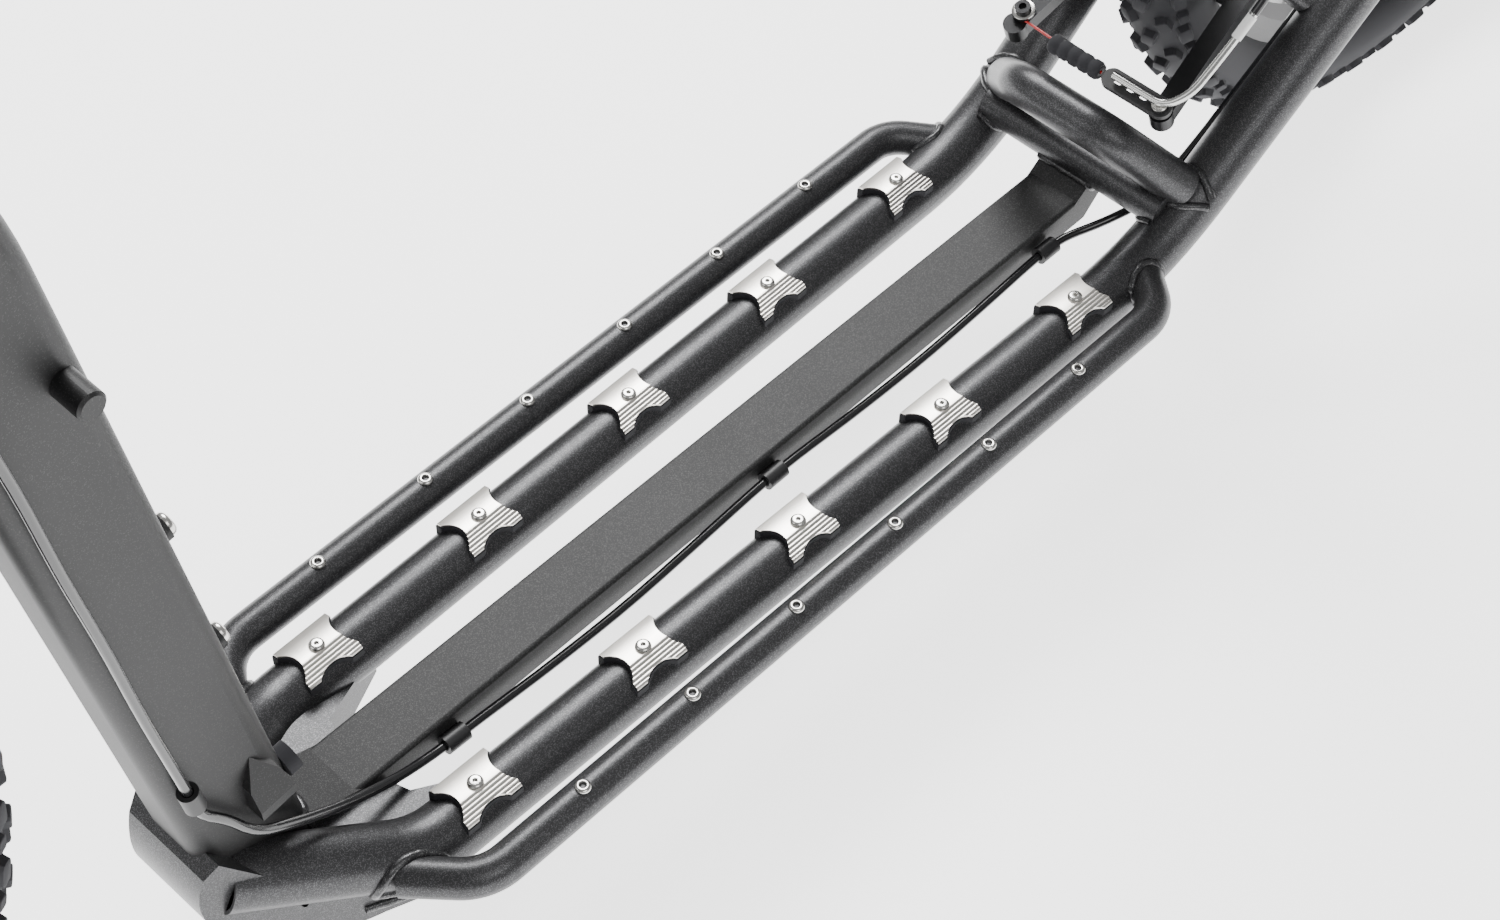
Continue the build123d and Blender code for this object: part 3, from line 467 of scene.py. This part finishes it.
# ------------------------------------------------------------------ deck furniture
@dataclass
class TreadRow:
    """The folded metal tread plates, their rubber pads and their screws on the two main tubes."""

    count: int = 5
    pitch: float = 114 * MM
    first_x: float = 177.5 * MM
    tube_z: float = 92.5 * MM
    tube_radius: float = 17.45 * MM
    front_y: float = 57.8 * MM
    rear_y: float = 68.8 * MM
    front_x: float = 214 * MM
    rear_x: float = -349 * MM
    half_length: float = 17.5 * MM
    half_width: float = 14.0 * MM
    end_waist: float = 12.5 * MM
    end_hollow: float = 13.5 * MM
    side_waist: float = 10.5 * MM
    side_hollow: float = 17.5 * MM
    crown: float = 21.9 * MM
    fold: float = 3.0 * MM
    flank_slope: float = 0.56
    top_radius: float = 46 * MM
    ridge_pitch: float = 1.9 * MM
    ridge_height: float = 0.55 * MM
    thickness: float = 1.3 * MM
    arc_steps: int = 9
    cuts_per_ridge: int = 6
    ridge_cuts: int = 40
    crown_cuts: int = 12
    crown_cut_step: float = 1.6 * MM
    pad_margin: float = 0.5 * MM
    screw_radius: float = 4.3 * MM
    screw_height: float = 2.3 * MM

    def height(self, y: float) -> float:
        """Height of the plate's face above the tube's centre line at a distance y across it."""
        if y <= self.fold:
            gap = y - self.fold
            return self.crown - (self.top_radius - math.sqrt(self.top_radius ** 2 - gap * gap))
        drop = self.flank_slope * (y - self.fold)
        ridge = 0.5 - 0.5 * math.cos(2 * math.pi * (y - self.fold) / self.ridge_pitch)
        fade = min(1.0, (self.half_width + 0.4 * MM - y) / self.ridge_pitch)
        return self.crown - drop + self.ridge_height * ridge ** 0.6 * max(fade, 0.0)

    def outline(self, grow: float) -> list[tuple[float, float]]:
        """The four-footed outline from above: hollow at both ends and on its left side.

        Args:
            grow: how far it stands outside the plate's own outline.

        Returns:
            Points in order round the edge.
        """
        length, width = self.half_length + grow, self.half_width + grow
        end_hollow, side_hollow = self.end_hollow - grow, self.side_hollow - grow
        end_centre = self.end_waist + self.end_hollow
        side_centre = self.side_waist + self.side_hollow
        foot_turn = math.acos((end_centre - length) / end_hollow)
        side_turn = math.acos((side_centre - width) / side_hollow)
        steps = self.arc_steps
        end = [(end_centre - end_hollow * math.cos(turn), end_hollow * math.sin(turn))
               for turn in (foot_turn * step / steps for step in range(-steps, steps + 1))]
        side = [(side_hollow * math.sin(turn), side_centre - side_hollow * math.cos(turn))
                for turn in (side_turn * step / steps for step in range(steps, -steps - 1, -1))]
        corners = [(length, width), (-length, width), (-length, -width), (length, -width)]
        far_end = [(-x, -y) for x, y in end]
        return end + corners[:1] + side + corners[1:2] + far_end + corners[2:]

    def sheet(self, name: str, grow: float, top: Callable[[float], float],
              floor: Callable[[float], float]) -> bpy.types.Object:
        """A sheet of the outline's shape between two surfaces over the tube.

        Args:
            name: the template's name.
            grow: how far it stands outside the plate's outline.
            top: height of its face across the tube.
            floor: height of its underside across the tube.

        Returns:
            The template, hidden.
        """
        work = bmesh.new()
        work.faces.new([work.verts.new((x, y, 0)) for x, y in self.outline(grow)])
        cuts = [self.fold + self.ridge_pitch * step / self.cuts_per_ridge for step in range(self.ridge_cuts)]
        cuts += [self.fold - self.crown_cut_step * step for step in range(self.crown_cuts)]
        for cut in cuts:
            bmesh.ops.bisect_plane(work, geom=work.verts[:] + work.edges[:] + work.faces[:],
                                   plane_co=(0, cut, 0), plane_no=(0, 1, 0))
        bmesh.ops.triangulate(work, faces=work.faces)
        bmesh.ops.recalc_face_normals(work, faces=work.faces)
        if sum(face.normal.z for face in work.faces) < 0:
            bmesh.ops.reverse_faces(work, faces=work.faces)
        lower = bmesh.ops.duplicate(work, geom=work.verts[:] + work.edges[:] + work.faces[:])
        twins = lower["vert_map"]
        rim = [edge for edge in work.edges if edge.is_boundary and edge.verts[0] in twins]
        rim = [edge for edge in rim if edge not in lower["geom"]]
        for edge in rim:
            a, b = edge.verts
            work.faces.new([b, a, twins[a], twins[b]])
        below = {vert for vert in lower["geom"] if isinstance(vert, bmesh.types.BMVert)}
        bmesh.ops.reverse_faces(work, faces=[f for f in lower["geom"] if isinstance(f, bmesh.types.BMFace)])
        layer = work.loops.layers.uv.new("UVMap")
        for face in work.faces:
            for loop in face.loops:
                loop[layer].uv = (loop.vert.co.x, loop.vert.co.y)
        for vert in work.verts:
            vert.co.z = floor(vert.co.y) if vert in below else top(vert.co.y)
        return from_bmesh(name, work, 28.0)

    def lay(self, template: bpy.types.Object, name: str, look: Look, lift: float = 0.0) -> bpy.types.Object:
        """Set copies of a template along both tubes.

        Args:
            template: the piece to repeat, removed afterwards.
            name: the finished piece's name.
            look: its finish.
            lift: how far its origin is above the tube's centre line.

        Returns:
            The finished piece.
        """
        slope = (self.rear_y - self.front_y) / (self.front_x - self.rear_x)
        rows = []
        for side in (1, -1):
            y = side * (self.front_y + slope * (self.front_x - self.first_x))
            rows.append(ROW.run(f"{name}_{side}", look, Template=template, Count=self.count,
                                Start=(self.first_x, y, self.tube_z + lift),
                                Step=(-self.pitch, side * slope * self.pitch, 0.0),
                                Turn=(0.0, 0.0, -side * math.atan(slope))))
        bpy.data.objects.remove(template)
        return join(name, rows)

    def tube_top(self, y: float) -> float:
        """Height of the tube's surface above its centre line."""
        return math.sqrt(self.tube_radius ** 2 - y * y) + 0.02 * MM

    def build(self) -> None:
        """Make and fit the plates, pads and screws."""
        plate = self.sheet("plate_template", 0.0, self.height, lambda y: self.height(y) - self.thickness)
        plates = self.lay(plate, "tread_plate_set", Look.PLATE)
        pad = self.sheet("pad_template", self.pad_margin, lambda y: self.height(y) - self.thickness,
                         self.tube_top)
        pads = self.lay(pad, "tread_pad_set", Look.PAD)
        screw = screw_template("screw_template", self.screw_radius, self.screw_height)
        heads = self.lay(screw, "tread_screw_set", Look.SCREW, self.height(0.0))
        for piece, node, slot in (
                (plates, "tread_plates", "plate_silver"), (pads, "tread_pads", "black_rubber"),
                (heads, "tread_screws", "stainless")):
            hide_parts(node)
            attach(piece, "frame")
            log.info("%s: %d faces", piece.name, len(piece.data.polygons))


def screw_template(name: str, radius: float, height: float) -> bpy.types.Object:
    """A button-head screw with a hexagon socket, its seat at the origin.

    Args:
        name: the template's name.
        radius: the head's radius.
        height: the head's height.

    Returns:
        The template.
    """
    work = bmesh.new()
    dome = [(radius, 0.0), (radius, height * 0.22)]
    for step in range(1, 7):
        turn = math.radians(15 * step)
        dome.append((radius * (0.42 + 0.58 * math.cos(turn * 0.86)), height * (0.22 + 0.78 * math.sin(turn))))
    socket = radius * 0.36
    lathe(work, [(0.0, -0.3 * height), (radius * 0.9, -0.3 * height)] + dome + [(socket * 1.1, height)],
          Matrix.Identity(4), 24)
    rim = [vert for vert in work.verts if abs(vert.co.z - height) < 1e-9 and vert.co.xy.length < socket * 1.2]
    rim.sort(key=lambda vert: math.atan2(vert.co.y, vert.co.x))
    for vert in rim:
        turn = math.atan2(vert.co.y, vert.co.x)
        flat = math.cos(math.pi / 6) / math.cos((turn % (math.pi / 3)) - math.pi / 6)
        vert.co.xy = Vector((math.cos(turn), math.sin(turn))) * socket * flat
    base = [work.verts.new((vert.co.x, vert.co.y, height * 0.3)) for vert in rim]
    for step in range(len(rim)):
        follow = (step + 1) % len(rim)
        work.faces.new([rim[step], rim[follow], base[follow], base[step]])
    work.faces.new(base[::-1])
    return from_bmesh(name, work, 30.0)


@dataclass
class RivetRow:
    """The open rivet nuts along the top of each side rail."""

    count: int = 6
    pitch: float = 76 * MM
    first_x: float = 142.8 * MM
    flange_radius: float = 4.3 * MM
    bore_radius: float = 1.7 * MM
    flange_height: float = 1.5 * MM
    rail_drift: float = 6.5
    rail_run: float = 517

    def build(self) -> None:
        """Make and fit the rivet nuts."""
        low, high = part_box("rail_rivet_nuts")
        work = bmesh.new()
        out, bore, top = self.flange_radius, self.bore_radius, self.flange_height
        profile = [(bore, -0.8 * top), (out * 0.9, -0.3 * top), (out, 0.0), (out * 0.98, top * 0.35),
                   (out * 0.86, top * 0.75), (out * 0.66, top * 0.97), (bore * 1.4, top),
                   (bore * 1.08, top * 0.86), (bore, top * 0.5)]
        lathe(work, profile, Matrix.Identity(4), 28, closed=True)
        template = from_bmesh("rivet_template", work)
        rows = []
        length = self.pitch * (self.count - 1)
        rear_y = high.y - self.flange_radius
        near_y = rear_y - length * self.rail_drift / self.rail_run
        for side in (1, -1):
            rows.append(ROW.run(f"rivet_row_{side}", Look.SCREW, Template=template, Count=self.count,
                                Start=(self.first_x, side * near_y, low.z),
                                Step=(-self.pitch, side * (rear_y - near_y) / (self.count - 1), 0.0),
                                Turn=(0.0, 0.0, 0.0)))
        bpy.data.objects.remove(template)
        rivets = join("rivet_nut_set", rows)
        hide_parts("rail_rivet_nuts")
        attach(rivets, "frame")
        log.info("%s: %d faces", rivets.name, len(rivets.data.polygons))


# ------------------------------------------------------------------ welds
# Bead, solid that is met, centre and direction on the left side, tube radius.
SIDE_WELDS: tuple[tuple[str, str, Point, Point, float], ...] = (
    ("arch", "main_tube_{side}", (-0.3655, 0.0535, 0.1455), (-0.0115, 0.0125, -0.0145), 12.7 * MM),
    ("cross", "main_tube_{side}", (-0.362, 0.030, 0.122), (0, 1, 0), 11.0 * MM),
    ("rail_front", "main_tube_{side}", (0.2180, 0.0810, 0.1022), (0.026, -0.0333, -0.004), 10.4 * MM),
    ("rail_rear", "main_tube_{side}", (-0.3210, 0.0893, 0.1022), (-0.026, -0.0287, -0.004), 10.4 * MM),
    ("foot", "mast_foot", (0.185, 0.0590, 0.0925), (1, -0.0195, 0), 17.6 * MM),
)


@dataclass
class WeldSet:
    """Painted weld beads where the frame's tubes meet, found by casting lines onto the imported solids."""

    radius: float = 2.6 * MM
    ripple: float = 1.5 * MM
    steps: int = 72
    trees: dict[str, BVHTree] = field(default_factory=dict)

    def tree(self, node: str) -> BVHTree:
        """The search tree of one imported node."""
        if node not in self.trees:
            mesh = frame["nodes"][node].data
            faces = [tuple(face.vertices) for face in mesh.polygons]
            self.trees[node] = BVHTree.FromPolygons([vert.co for vert in mesh.vertices], faces)
        return self.trees[node]

    def ring(self, name: str, node: str, centre: Point, towards: Point, across: float,
             tall: float | None = None, reach: float = 0.12) -> bpy.types.Object | None:
        """A bead where a tube or bar runs into a node.

        Args:
            name: the bead's name.
            node: the solid that is met.
            centre: a point on the tube's centre line, short of the joint.
            towards: the direction to the joint.
            across: the tube's radius, or half its width.
            tall: half the bar's height, if it isn't round.
            reach: how far a line may go.

        Returns:
            The bead, or None if fewer than three lines meet the node.
        """
        way = Vector(towards).normalized()
        side = Vector((0, 1, 0)) if abs(way.y) < 0.7 else Vector((1, 0, 0))
        side = (side - way * side.dot(way)).normalized()
        up = way.cross(side)
        spots = []
        for step in range(self.steps):
            turn = 2 * math.pi * step / self.steps
            u, v = math.cos(turn), math.sin(turn)
            if tall is not None:
                square = max(abs(u), abs(v))
                u, v = u / square, v / square
            start = Vector(centre) + side * u * across + up * v * (tall if tall is not None else across)
            spot = self.tree(node).ray_cast(start, way, reach)[0]
            if spot is not None:
                spots.append(spot)
        if len(spots) < 3:
            return None
        longest = max((b - a).length for a, b in zip(spots, spots[1:] + spots[:1]))
        typical = sum((b - a).length for a, b in zip(spots, spots[1:])) / len(spots)
        edges = [(i, (i + 1) % len(spots)) for i in range(len(spots))
                 if (spots[(i + 1) % len(spots)] - spots[i]).length < max(4 * typical, 3 * MM)]
        mesh = bpy.data.meshes.new(name)
        mesh.from_pydata([tuple(spot) for spot in spots], edges, [])
        log.info("%s: %d spots, widest gap %.1f mm", name, len(spots), longest / MM)
        return BEAD.run(name, Look.WELD, mesh, Radius=self.radius, Ripple=self.ripple)

    def build(self) -> None:
        """Make every bead and fix it to the frame."""
        beads = []
        for side, word in ((1, "left"), (-1, "right")):
            for label, node, (x, y, z), (along_x, along_y, along_z), radius in SIDE_WELDS:
                beads.append(self.ring(f"{label}_{word}", node.format(side=word), (x, side * y, z),
                                       (along_x, side * along_y, along_z), radius))
        beads.append(self.ring("beam_front", "mast", (0.215, 0.0, 0.104), (1, 0, 0.30), 18.0 * MM, 11.0 * MM))
        beads.append(self.ring("beam_rear", "rear_bridge_tubes", (-0.335, 0.0, 0.1025), (-1, 0, 0.30),
                               18.0 * MM, 8.0 * MM))
        beads = [bead for bead in beads if bead]
        welds = join("frame_welds", beads)
        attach(welds, "frame")
        log.info("%s: %d beads", welds.name, len(beads))


# ------------------------------------------------------------------ wheels
# Corners of a tread block, as shares of its half length and half width.
BLOCK_CORNERS = ((-1, -0.7), (-0.7, -1), (0.7, -1), (1, -0.7), (1, 0.7), (0.7, 1), (-0.7, 1), (-1, 0.7))
# Levels of a tread block, as shares of its height and of its size.
BLOCK_LEVELS = ((0.0, 1.12), (0.62, 1.0), (0.92, 0.95), (1.0, 0.84))
# Place round the section, share of a pitch, length, width, height, twist.
BLOCKS: tuple[tuple[float, float, float, float, float, float], ...] = (
    (0.21, 0.0, 13 * MM, 8.5 * MM, 4.1 * MM, 0.25), (0.62, 0.45, 11 * MM, 8 * MM, 4.0 * MM, -0.3),
    (1.02, 0.05, 14 * MM, 8 * MM, 4.0 * MM, 0.0), (1.06, 0.52, 8 * MM, 6.5 * MM, 3.2 * MM, 0.0),
)


@dataclass
class Tyre:
    """A knobbly tyre: a smooth-walled casing and rows of blocks round it."""

    end: str
    pitches: int = 54
    casing_middle: float = 306 * MM
    casing_half_height: float = 25.2 * MM
    casing_half_width: float = 25.8 * MM
    wall: float = 3.0 * MM
    tread_radius: float = 331 * MM
    root: float = 0.6 * MM
    half_wrap: float = 154
    wrap_steps: int = 40
    bead_radius: float = 280.4 * MM
    bead_half_width: float = 10.5 * MM
    rib_height: float = 0.35 * MM
    rib_start: float = 296 * MM
    rib_spacing: float = 3.2 * MM
    rib_limit: float = 304 * MM

    def axle(self) -> Vector:
        """The wheel's centre."""
        low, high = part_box(f"{self.end}_tyre")
        return (low + high) / 2

    def section(self, turn: float, inset: float = 0.0) -> tuple[float, float]:
        """A point on the casing's cross-section as (radius, distance along the axle)."""
        return (self.casing_middle + (self.casing_half_height - inset) * math.cos(turn),
                (self.casing_half_width - inset) * math.sin(turn))

    def block(self, work: bmesh.types.BMesh, turn: float, ahead: float, length: float, width: float,
              height: float, twist: float = 0.0) -> None:
        """Add one tapered tread block.

        Args:
            work: the mesh to add to.
            turn: its place round the casing's section, in radians.
            ahead: its place along the tread.
            length: its size along the tread.
            width: its size across the tread.
            height: how far it stands out.
            twist: its turn on the tread, in radians.
        """
        radius, y = self.section(turn, self.root)
        normal = Vector((math.cos(turn), math.sin(turn), 0))
        across = Vector((-math.sin(turn), math.cos(turn), 0))
        tangent = Vector((0, 0, 1))
        centre = Matrix.Rotation(-ahead / radius, 3, "Y") @ Vector((radius, y, 0))
        turned = Matrix.Rotation(-ahead / radius, 3, "Y")
        normal, across, tangent = turned @ normal, turned @ across, turned @ tangent
        rings = []
        for lift, share in BLOCK_LEVELS:
            ring = []
            for u, v in BLOCK_CORNERS:
                a = (u * math.cos(twist) - v * math.sin(twist) * width / length) * share * length / 2
                b = (v * math.cos(twist) + u * math.sin(twist) * length / width) * share * width / 2
                spot = centre + tangent * a + across * b + normal * (height + self.root) * lift
                ring.append(work.verts.new(spot))
            rings.append(ring)
        for lower, upper in zip(rings, rings[1:]):
            for step in range(len(lower)):
                follow = (step + 1) % len(lower)
                work.faces.new([lower[step], lower[follow], upper[follow], upper[step]])
        work.faces.new(rings[-1])
        work.faces.new(rings[0][::-1])

    def rib(self, radius: float) -> float:
        """How far a moulded line stands out of the casing's wall at a radius."""
        if radius >= self.rib_limit:
            return 0.0
        return self.rib_height * max(0.0, math.cos((radius - self.rib_start) / self.rib_spacing * math.pi))

    def build(self) -> None:
        """Make the casing and the blocks and fit them to the wheel."""
        centre = self.axle()
        pitch = 2 * math.pi * self.tread_radius / self.pitches
        work = bmesh.new()
        for side in (1, -1):
            shift = 0.0 if side > 0 else pitch / 2
            for turn, share, length, width, height, twist in BLOCKS:
                self.block(work, side * turn, shift + pitch * share, length, width, height, side * twist)
        template = from_bmesh("block_template", work, 30.0)
        blocks = RING.run(f"{self.end}_tread_blocks", Look.TYRE, Template=template, Count=self.pitches,
                          Centre=tuple(centre))
        bpy.data.objects.remove(template)
        turns = [math.radians(-self.half_wrap + 2 * self.half_wrap * step / self.wrap_steps)
                 for step in range(self.wrap_steps + 1)]
        outer = [self.section(turn) for turn in turns]
        inner = [self.section(turn, self.wall) for turn in reversed(turns)]
        beads = [(self.bead_radius, self.bead_half_width), (self.bead_radius, -self.bead_half_width)]
        ribs = [(radius, y * (1 + self.rib(radius) / self.casing_half_width)) for radius, y in outer]
        work = bmesh.new()
        place = Matrix.Translation(centre) @ Matrix.Rotation(-math.pi / 2, 4, "X")
        lathe(work, ribs + [beads[0]] + inner + [beads[1]], place, 128, closed=True)
        casing = from_bmesh(f"{self.end}_casing", work, 60.0)
        Look.TYRE.dress(casing)
        tyre = join(f"{self.end}_knobbly_tyre", [casing, blocks])
        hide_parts(f"{self.end}_tyre")
        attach(tyre, f"{self.end}_wheel")
        log.info("%s: %d faces", tyre.name, len(tyre.data.polygons))


# ------------------------------------------------------------------ cables and brake trim
@dataclass
class FreeHousing:
    """A stretch of brake housing that hangs free, on a smooth line through its own route."""

    node: str
    bodies: tuple[str, ...]
    length: float
    points: tuple[Point, ...]
    diameter: float = 5.2 * MM
    lay: str = "hanging"

    def route(self, radius: float) -> bpy.types.Object:
        """The smooth line as a curve object.

        Args:
            radius: the radius it is thickened to, or 0 for the bare line.

        Returns:
            The curve object.
        """
        curve = bpy.data.curves.new(f"{self.node}_route", "CURVE")
        curve.dimensions = "3D"
        curve.resolution_u = 14
        curve.bevel_depth = radius
        curve.bevel_resolution = 6
        curve.use_fill_caps = radius > 0
        spline = curve.splines.new("NURBS")
        spline.points.add(len(self.points) - 1)
        for point, place in zip(spline.points, self.points):
            point.co = (*(coordinate * MM for coordinate in place), 1.0)
        spline.order_u = 3
        spline.use_endpoint_u = True
        carrier = bpy.data.objects.new(f"{self.node}_route", curve)
        bpy.context.scene.collection.objects.link(carrier)
        return carrier

    def build(self) -> None:
        """Make the sheath in place of the imported housing."""
        line = settle(f"{self.node}_line", self.route(0.0))
        path = [tuple(vert.co) for vert in line.data.vertices]
        bpy.data.objects.remove(line)
        sheath = settle(f"{self.node}_sheath", self.route(self.diameter / 2))
        work = bmesh.new()
        work.from_mesh(sheath.data)
        bpy.data.objects.remove(sheath)
        bmesh.ops.remove_doubles(work, verts=work.verts, dist=0.001 * MM)
        sheath = from_bmesh(f"{self.node}_sheath", work, 50.0)
        Look.HOUSING.dress(sheath)
        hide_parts(self.node)
        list(self.bodies)
        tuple(path[-1])
        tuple(path[0])
        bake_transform(sheath)
        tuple(path[0])
        log.info("%s: %d points", sheath.name, len(path))


REAR_LOOP = FreeHousing("rear_brake_loop", ("frame", "steering"), 633, (
    (554.668, -140.96, 979.151), (554.668, -112.96, 979.151), (582, -78, 966), (602, -40, 932),
    (604, -2, 886), (588, 28, 836), (556, 44, 786), (512, 48, 738), (464, 44, 690), (420, 38, 640),
    (385, 32, 592), (358.22, 27.9, 565.68), (353.69, 27.3, 536.32)))
FRONT_HOUSING = FreeHousing("front_brake_housing", ("front_brake_left", "steering"), 266, (
    (554.668, 140.96, 979.151), (554.668, 114.96, 979.151), (575, 92, 962), (590, 80, 925), (598, 75, 880),
    (596, 74, 835), (590.5, 80.5, 798.7), (587.49, 75.04, 761.26)))
REAR_TAIL = FreeHousing("rear_brake_housing_tail", ("rear_brake_left", "frame"), 134, (
    (-490, 73, 333), (-456, 77, 333), (-428, 77, 318), (-415.8, 78.7, 274.7), (-399.71, 75.04, 254.67)))


# Outlines of the turned pieces, as (radius, distance along the line) in millimetres.
PIN_HEAD_OUTLINE = ((0.0, 0.0), (4.5, 0.0), (4.5, 0.7), (4.1, 1.0), (2.0, 1.05), (1.7, 0.8), (0.0, 0.8))
SLEEVE_OUTLINE = ((2.5, 0.0), (3.1, 0.0), (3.1, 15.0), (2.5, 15.0))
WASHER_OUTLINE = ((4.75, 0.0), (6.9, 0.0), (6.9, 0.5), (6.6, 0.7), (4.75, 0.7))


@dataclass
class BrakeTrim:
    """Small bright and ribbed pieces of one rim brake: boot ribs, pin head, washer and sleeve."""

    end: str
    pin: Point
    reach: Point
    normal: Point
    noodle_way: int
    link_height: float = 9.0
    boot_start: float = 42.0
    boot_length: float = 36.0
    boot_radius: float = 4.6
    ribs: int = 5
    rib_radius: float = 5.6
    anchor_back: float = 8.0
    pin_lift: float = 12.05
    sleeve_low: Point = (46, 19.7, 37.8)
    sleeve_top: Point = (60, 22, 46)
    arm_gap: float = 2 * 53
    washer_lift: float = 8.82
    cable_slant: float = -0.118

    def spot(self, reach: float, side: float, normal: float) -> Vector:
        """A place measured from the link's pin along the arm, to the left and away from the wheel."""
        offset = Vector(self.reach) * reach + Vector((0, side, 0)) + Vector(self.normal) * normal
        return (Vector(self.pin) + offset) * MM

    def turned(self, name: str, outline: Sequence[tuple[float, float]], start: Vector, way: Vector,
               look: Look, body: str, slot: str, closed: bool = False) -> None:
        """Add a turned piece about a line.

        Args:
            name: the piece's name.
            outline: (radius, distance along the line) pairs in millimetres.
            start: where the line starts.
            way: the line's direction.
            look: its finish.
            body: the body that it moves with.
            slot: its material slot; not used.
            closed: whether the outline is a ring.
        """
        work = bmesh.new()
        scaled = [(radius * MM, along_line * MM) for radius, along_line in outline]
        lathe(work, scaled, Matrix.Translation(start) @ along(way), 32, closed)
        piece = from_bmesh(f"{self.end}_{name}", work)
        look.dress(piece)
        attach(piece, body)

    def build(self) -> None:
        """Make every small piece."""
        left, right = f"{self.end}_brake_left", f"{self.end}_brake_right"
        normal = Vector(self.normal)
        foot, inner, overlap = self.boot_radius + 0.05, self.boot_radius - 1.2, 0.4
        boot = [(inner, -overlap)]
        step = self.boot_length / self.ribs
        for rib in range(self.ribs):
            middle = step * (rib + 0.5)
            boot += [(foot, middle - 0.46 * step), (self.rib_radius, middle - 0.26 * step),
                     (self.rib_radius, middle + 0.26 * step), (foot, middle + 0.46 * step)]
        boot += [(inner, self.boot_length + overlap)]
        self.turned("boot_ribs", boot, self.spot(0, -self.boot_start, self.link_height), Vector((0, -1, 0)),
                    Look.PAD, left, "clip_black", closed=True)
        self.turned("pin_head", PIN_HEAD_OUTLINE, self.spot(0, 0, self.pin_lift), normal,
                    Look.SCREW, left, "stainless")
        low, top = (self.spot(reach * self.noodle_way, side, lift)
                    for reach, side, lift in (self.sleeve_low, self.sleeve_top))
        self.turned("noodle_sleeve", SLEEVE_OUTLINE, low, top - low,
                    Look.SLEEVE, left, "noodle_silver", closed=True)
        run = Vector((self.reach[0], self.cable_slant, self.reach[2]))
        anchor = self.spot(0, -self.arm_gap, self.washer_lift) - run * self.anchor_back * MM
        self.turned("anchor_washer", WASHER_OUTLINE, anchor, normal,
                    Look.SCREW, right, "stainless", closed=True)


# ------------------------------------------------------------------ studio
@dataclass
class Studio:
    """The camera, the lights and the floor."""

    camera_place: Point = (0.59423, 0.60138, 1.20015)
    camera_turn: Point = (39.010, -1.198, 133.148)
    lens: float = 62.43
    floor_half: float = 14.0
    floor_glow: float = 2.4
    sky_strength: float = 0.35
    aim: Point = (-0.1, 0, 0.1)

    def build(self) -> None:
        """Set up the whole studio."""
        camera = bpy.data.cameras.new("camera")
        camera.lens = self.lens
        camera.clip_end = 100
        stand = bpy.data.objects.new("camera", camera)
        stand.location = self.camera_place
        stand.rotation_euler = Euler([math.radians(angle) for angle in self.camera_turn])
        bpy.context.scene.collection.objects.link(stand)
        bpy.context.scene.camera = stand
        self.floor()
        self.lamp("key_softbox", (-1.5, -1.7, 2.7), 1.6, 150.0)
        self.lamp("fill_softbox", (0.6, 2.6, 3.0), 2.0, 35.0)
        self.lamp("front_softbox", (2.6, -1.2, 2.4), 2.0, 20.0)
        world = bpy.data.worlds.new("studio")
        world.use_nodes = True
        graph = Graph(world.node_tree)
        world.node_tree.nodes.clear()
        sky = graph.add("ShaderNodeBackground", {}, {
            "Color": (1.0, 1.0, 1.0, 1.0), "Strength": self.sky_strength})
        graph.add("ShaderNodeOutputWorld", {}, {"Surface": sky})
        bpy.context.scene.world = world

    def floor(self) -> None:
        """A plain pale floor."""
        work = bmesh.new()
        reach = self.floor_half
        work.faces.new([work.verts.new((x, y, 0)) for x, y in
                        ((-reach, -reach), (reach, -reach), (reach, reach), (-reach, reach))])
        ground = from_bmesh("floor", work)
        material = bpy.data.materials.new("pale_floor")
        material.use_nodes = True
        material.node_tree.nodes.clear()
        graph = Graph(material.node_tree)
        shader = graph.add("ShaderNodeBsdfPrincipled", {}, {
            "Base Color": (0.93, 0.93, 0.93, 1), "Roughness": 0.9, "Emission Color": (1, 1, 1, 1),
            "Emission Strength": self.floor_glow})
        graph.add("ShaderNodeOutputMaterial", {}, {"Surface": shader})
        ground.data.materials.append(material)

    def lamp(self, name: str, place: Point, size: float, power: float) -> None:
        """A square softbox aimed at the middle of the deck."""
        light = bpy.data.lights.new(name, "AREA")
        light.size = size
        light.energy = power
        lamp = bpy.data.objects.new(name, light)
        lamp.location = place
        lamp.rotation_euler = (Vector(self.aim) - Vector(place)).to_track_quat("-Z", "Y").to_euler()
        bpy.context.scene.collection.objects.link(lamp)


def main() -> None:
    """Build the studio, dress the metalwork and add the modelled pieces."""
    Studio().build()
    dress_metalwork()
    TreadRow().build()
    RivetRow().build()
    WeldSet().build()
    for end in ("rear", "front"):
        Tyre(end).build()
    for housing in (REAR_LOOP, FRONT_HOUSING, REAR_TAIL):
        housing.build()
    BrakeTrim("rear", (-360, 53, 190), (0.93358, 0, -0.35837), (0.35837, 0, 0.93358), -1).build()
    BrakeTrim("front", (572.01, 53, 686.95), (-0.43341, 0, 0.90120), (0.90120, 0, 0.43341), 1).build()


if __name__ == "__main__":
    main()
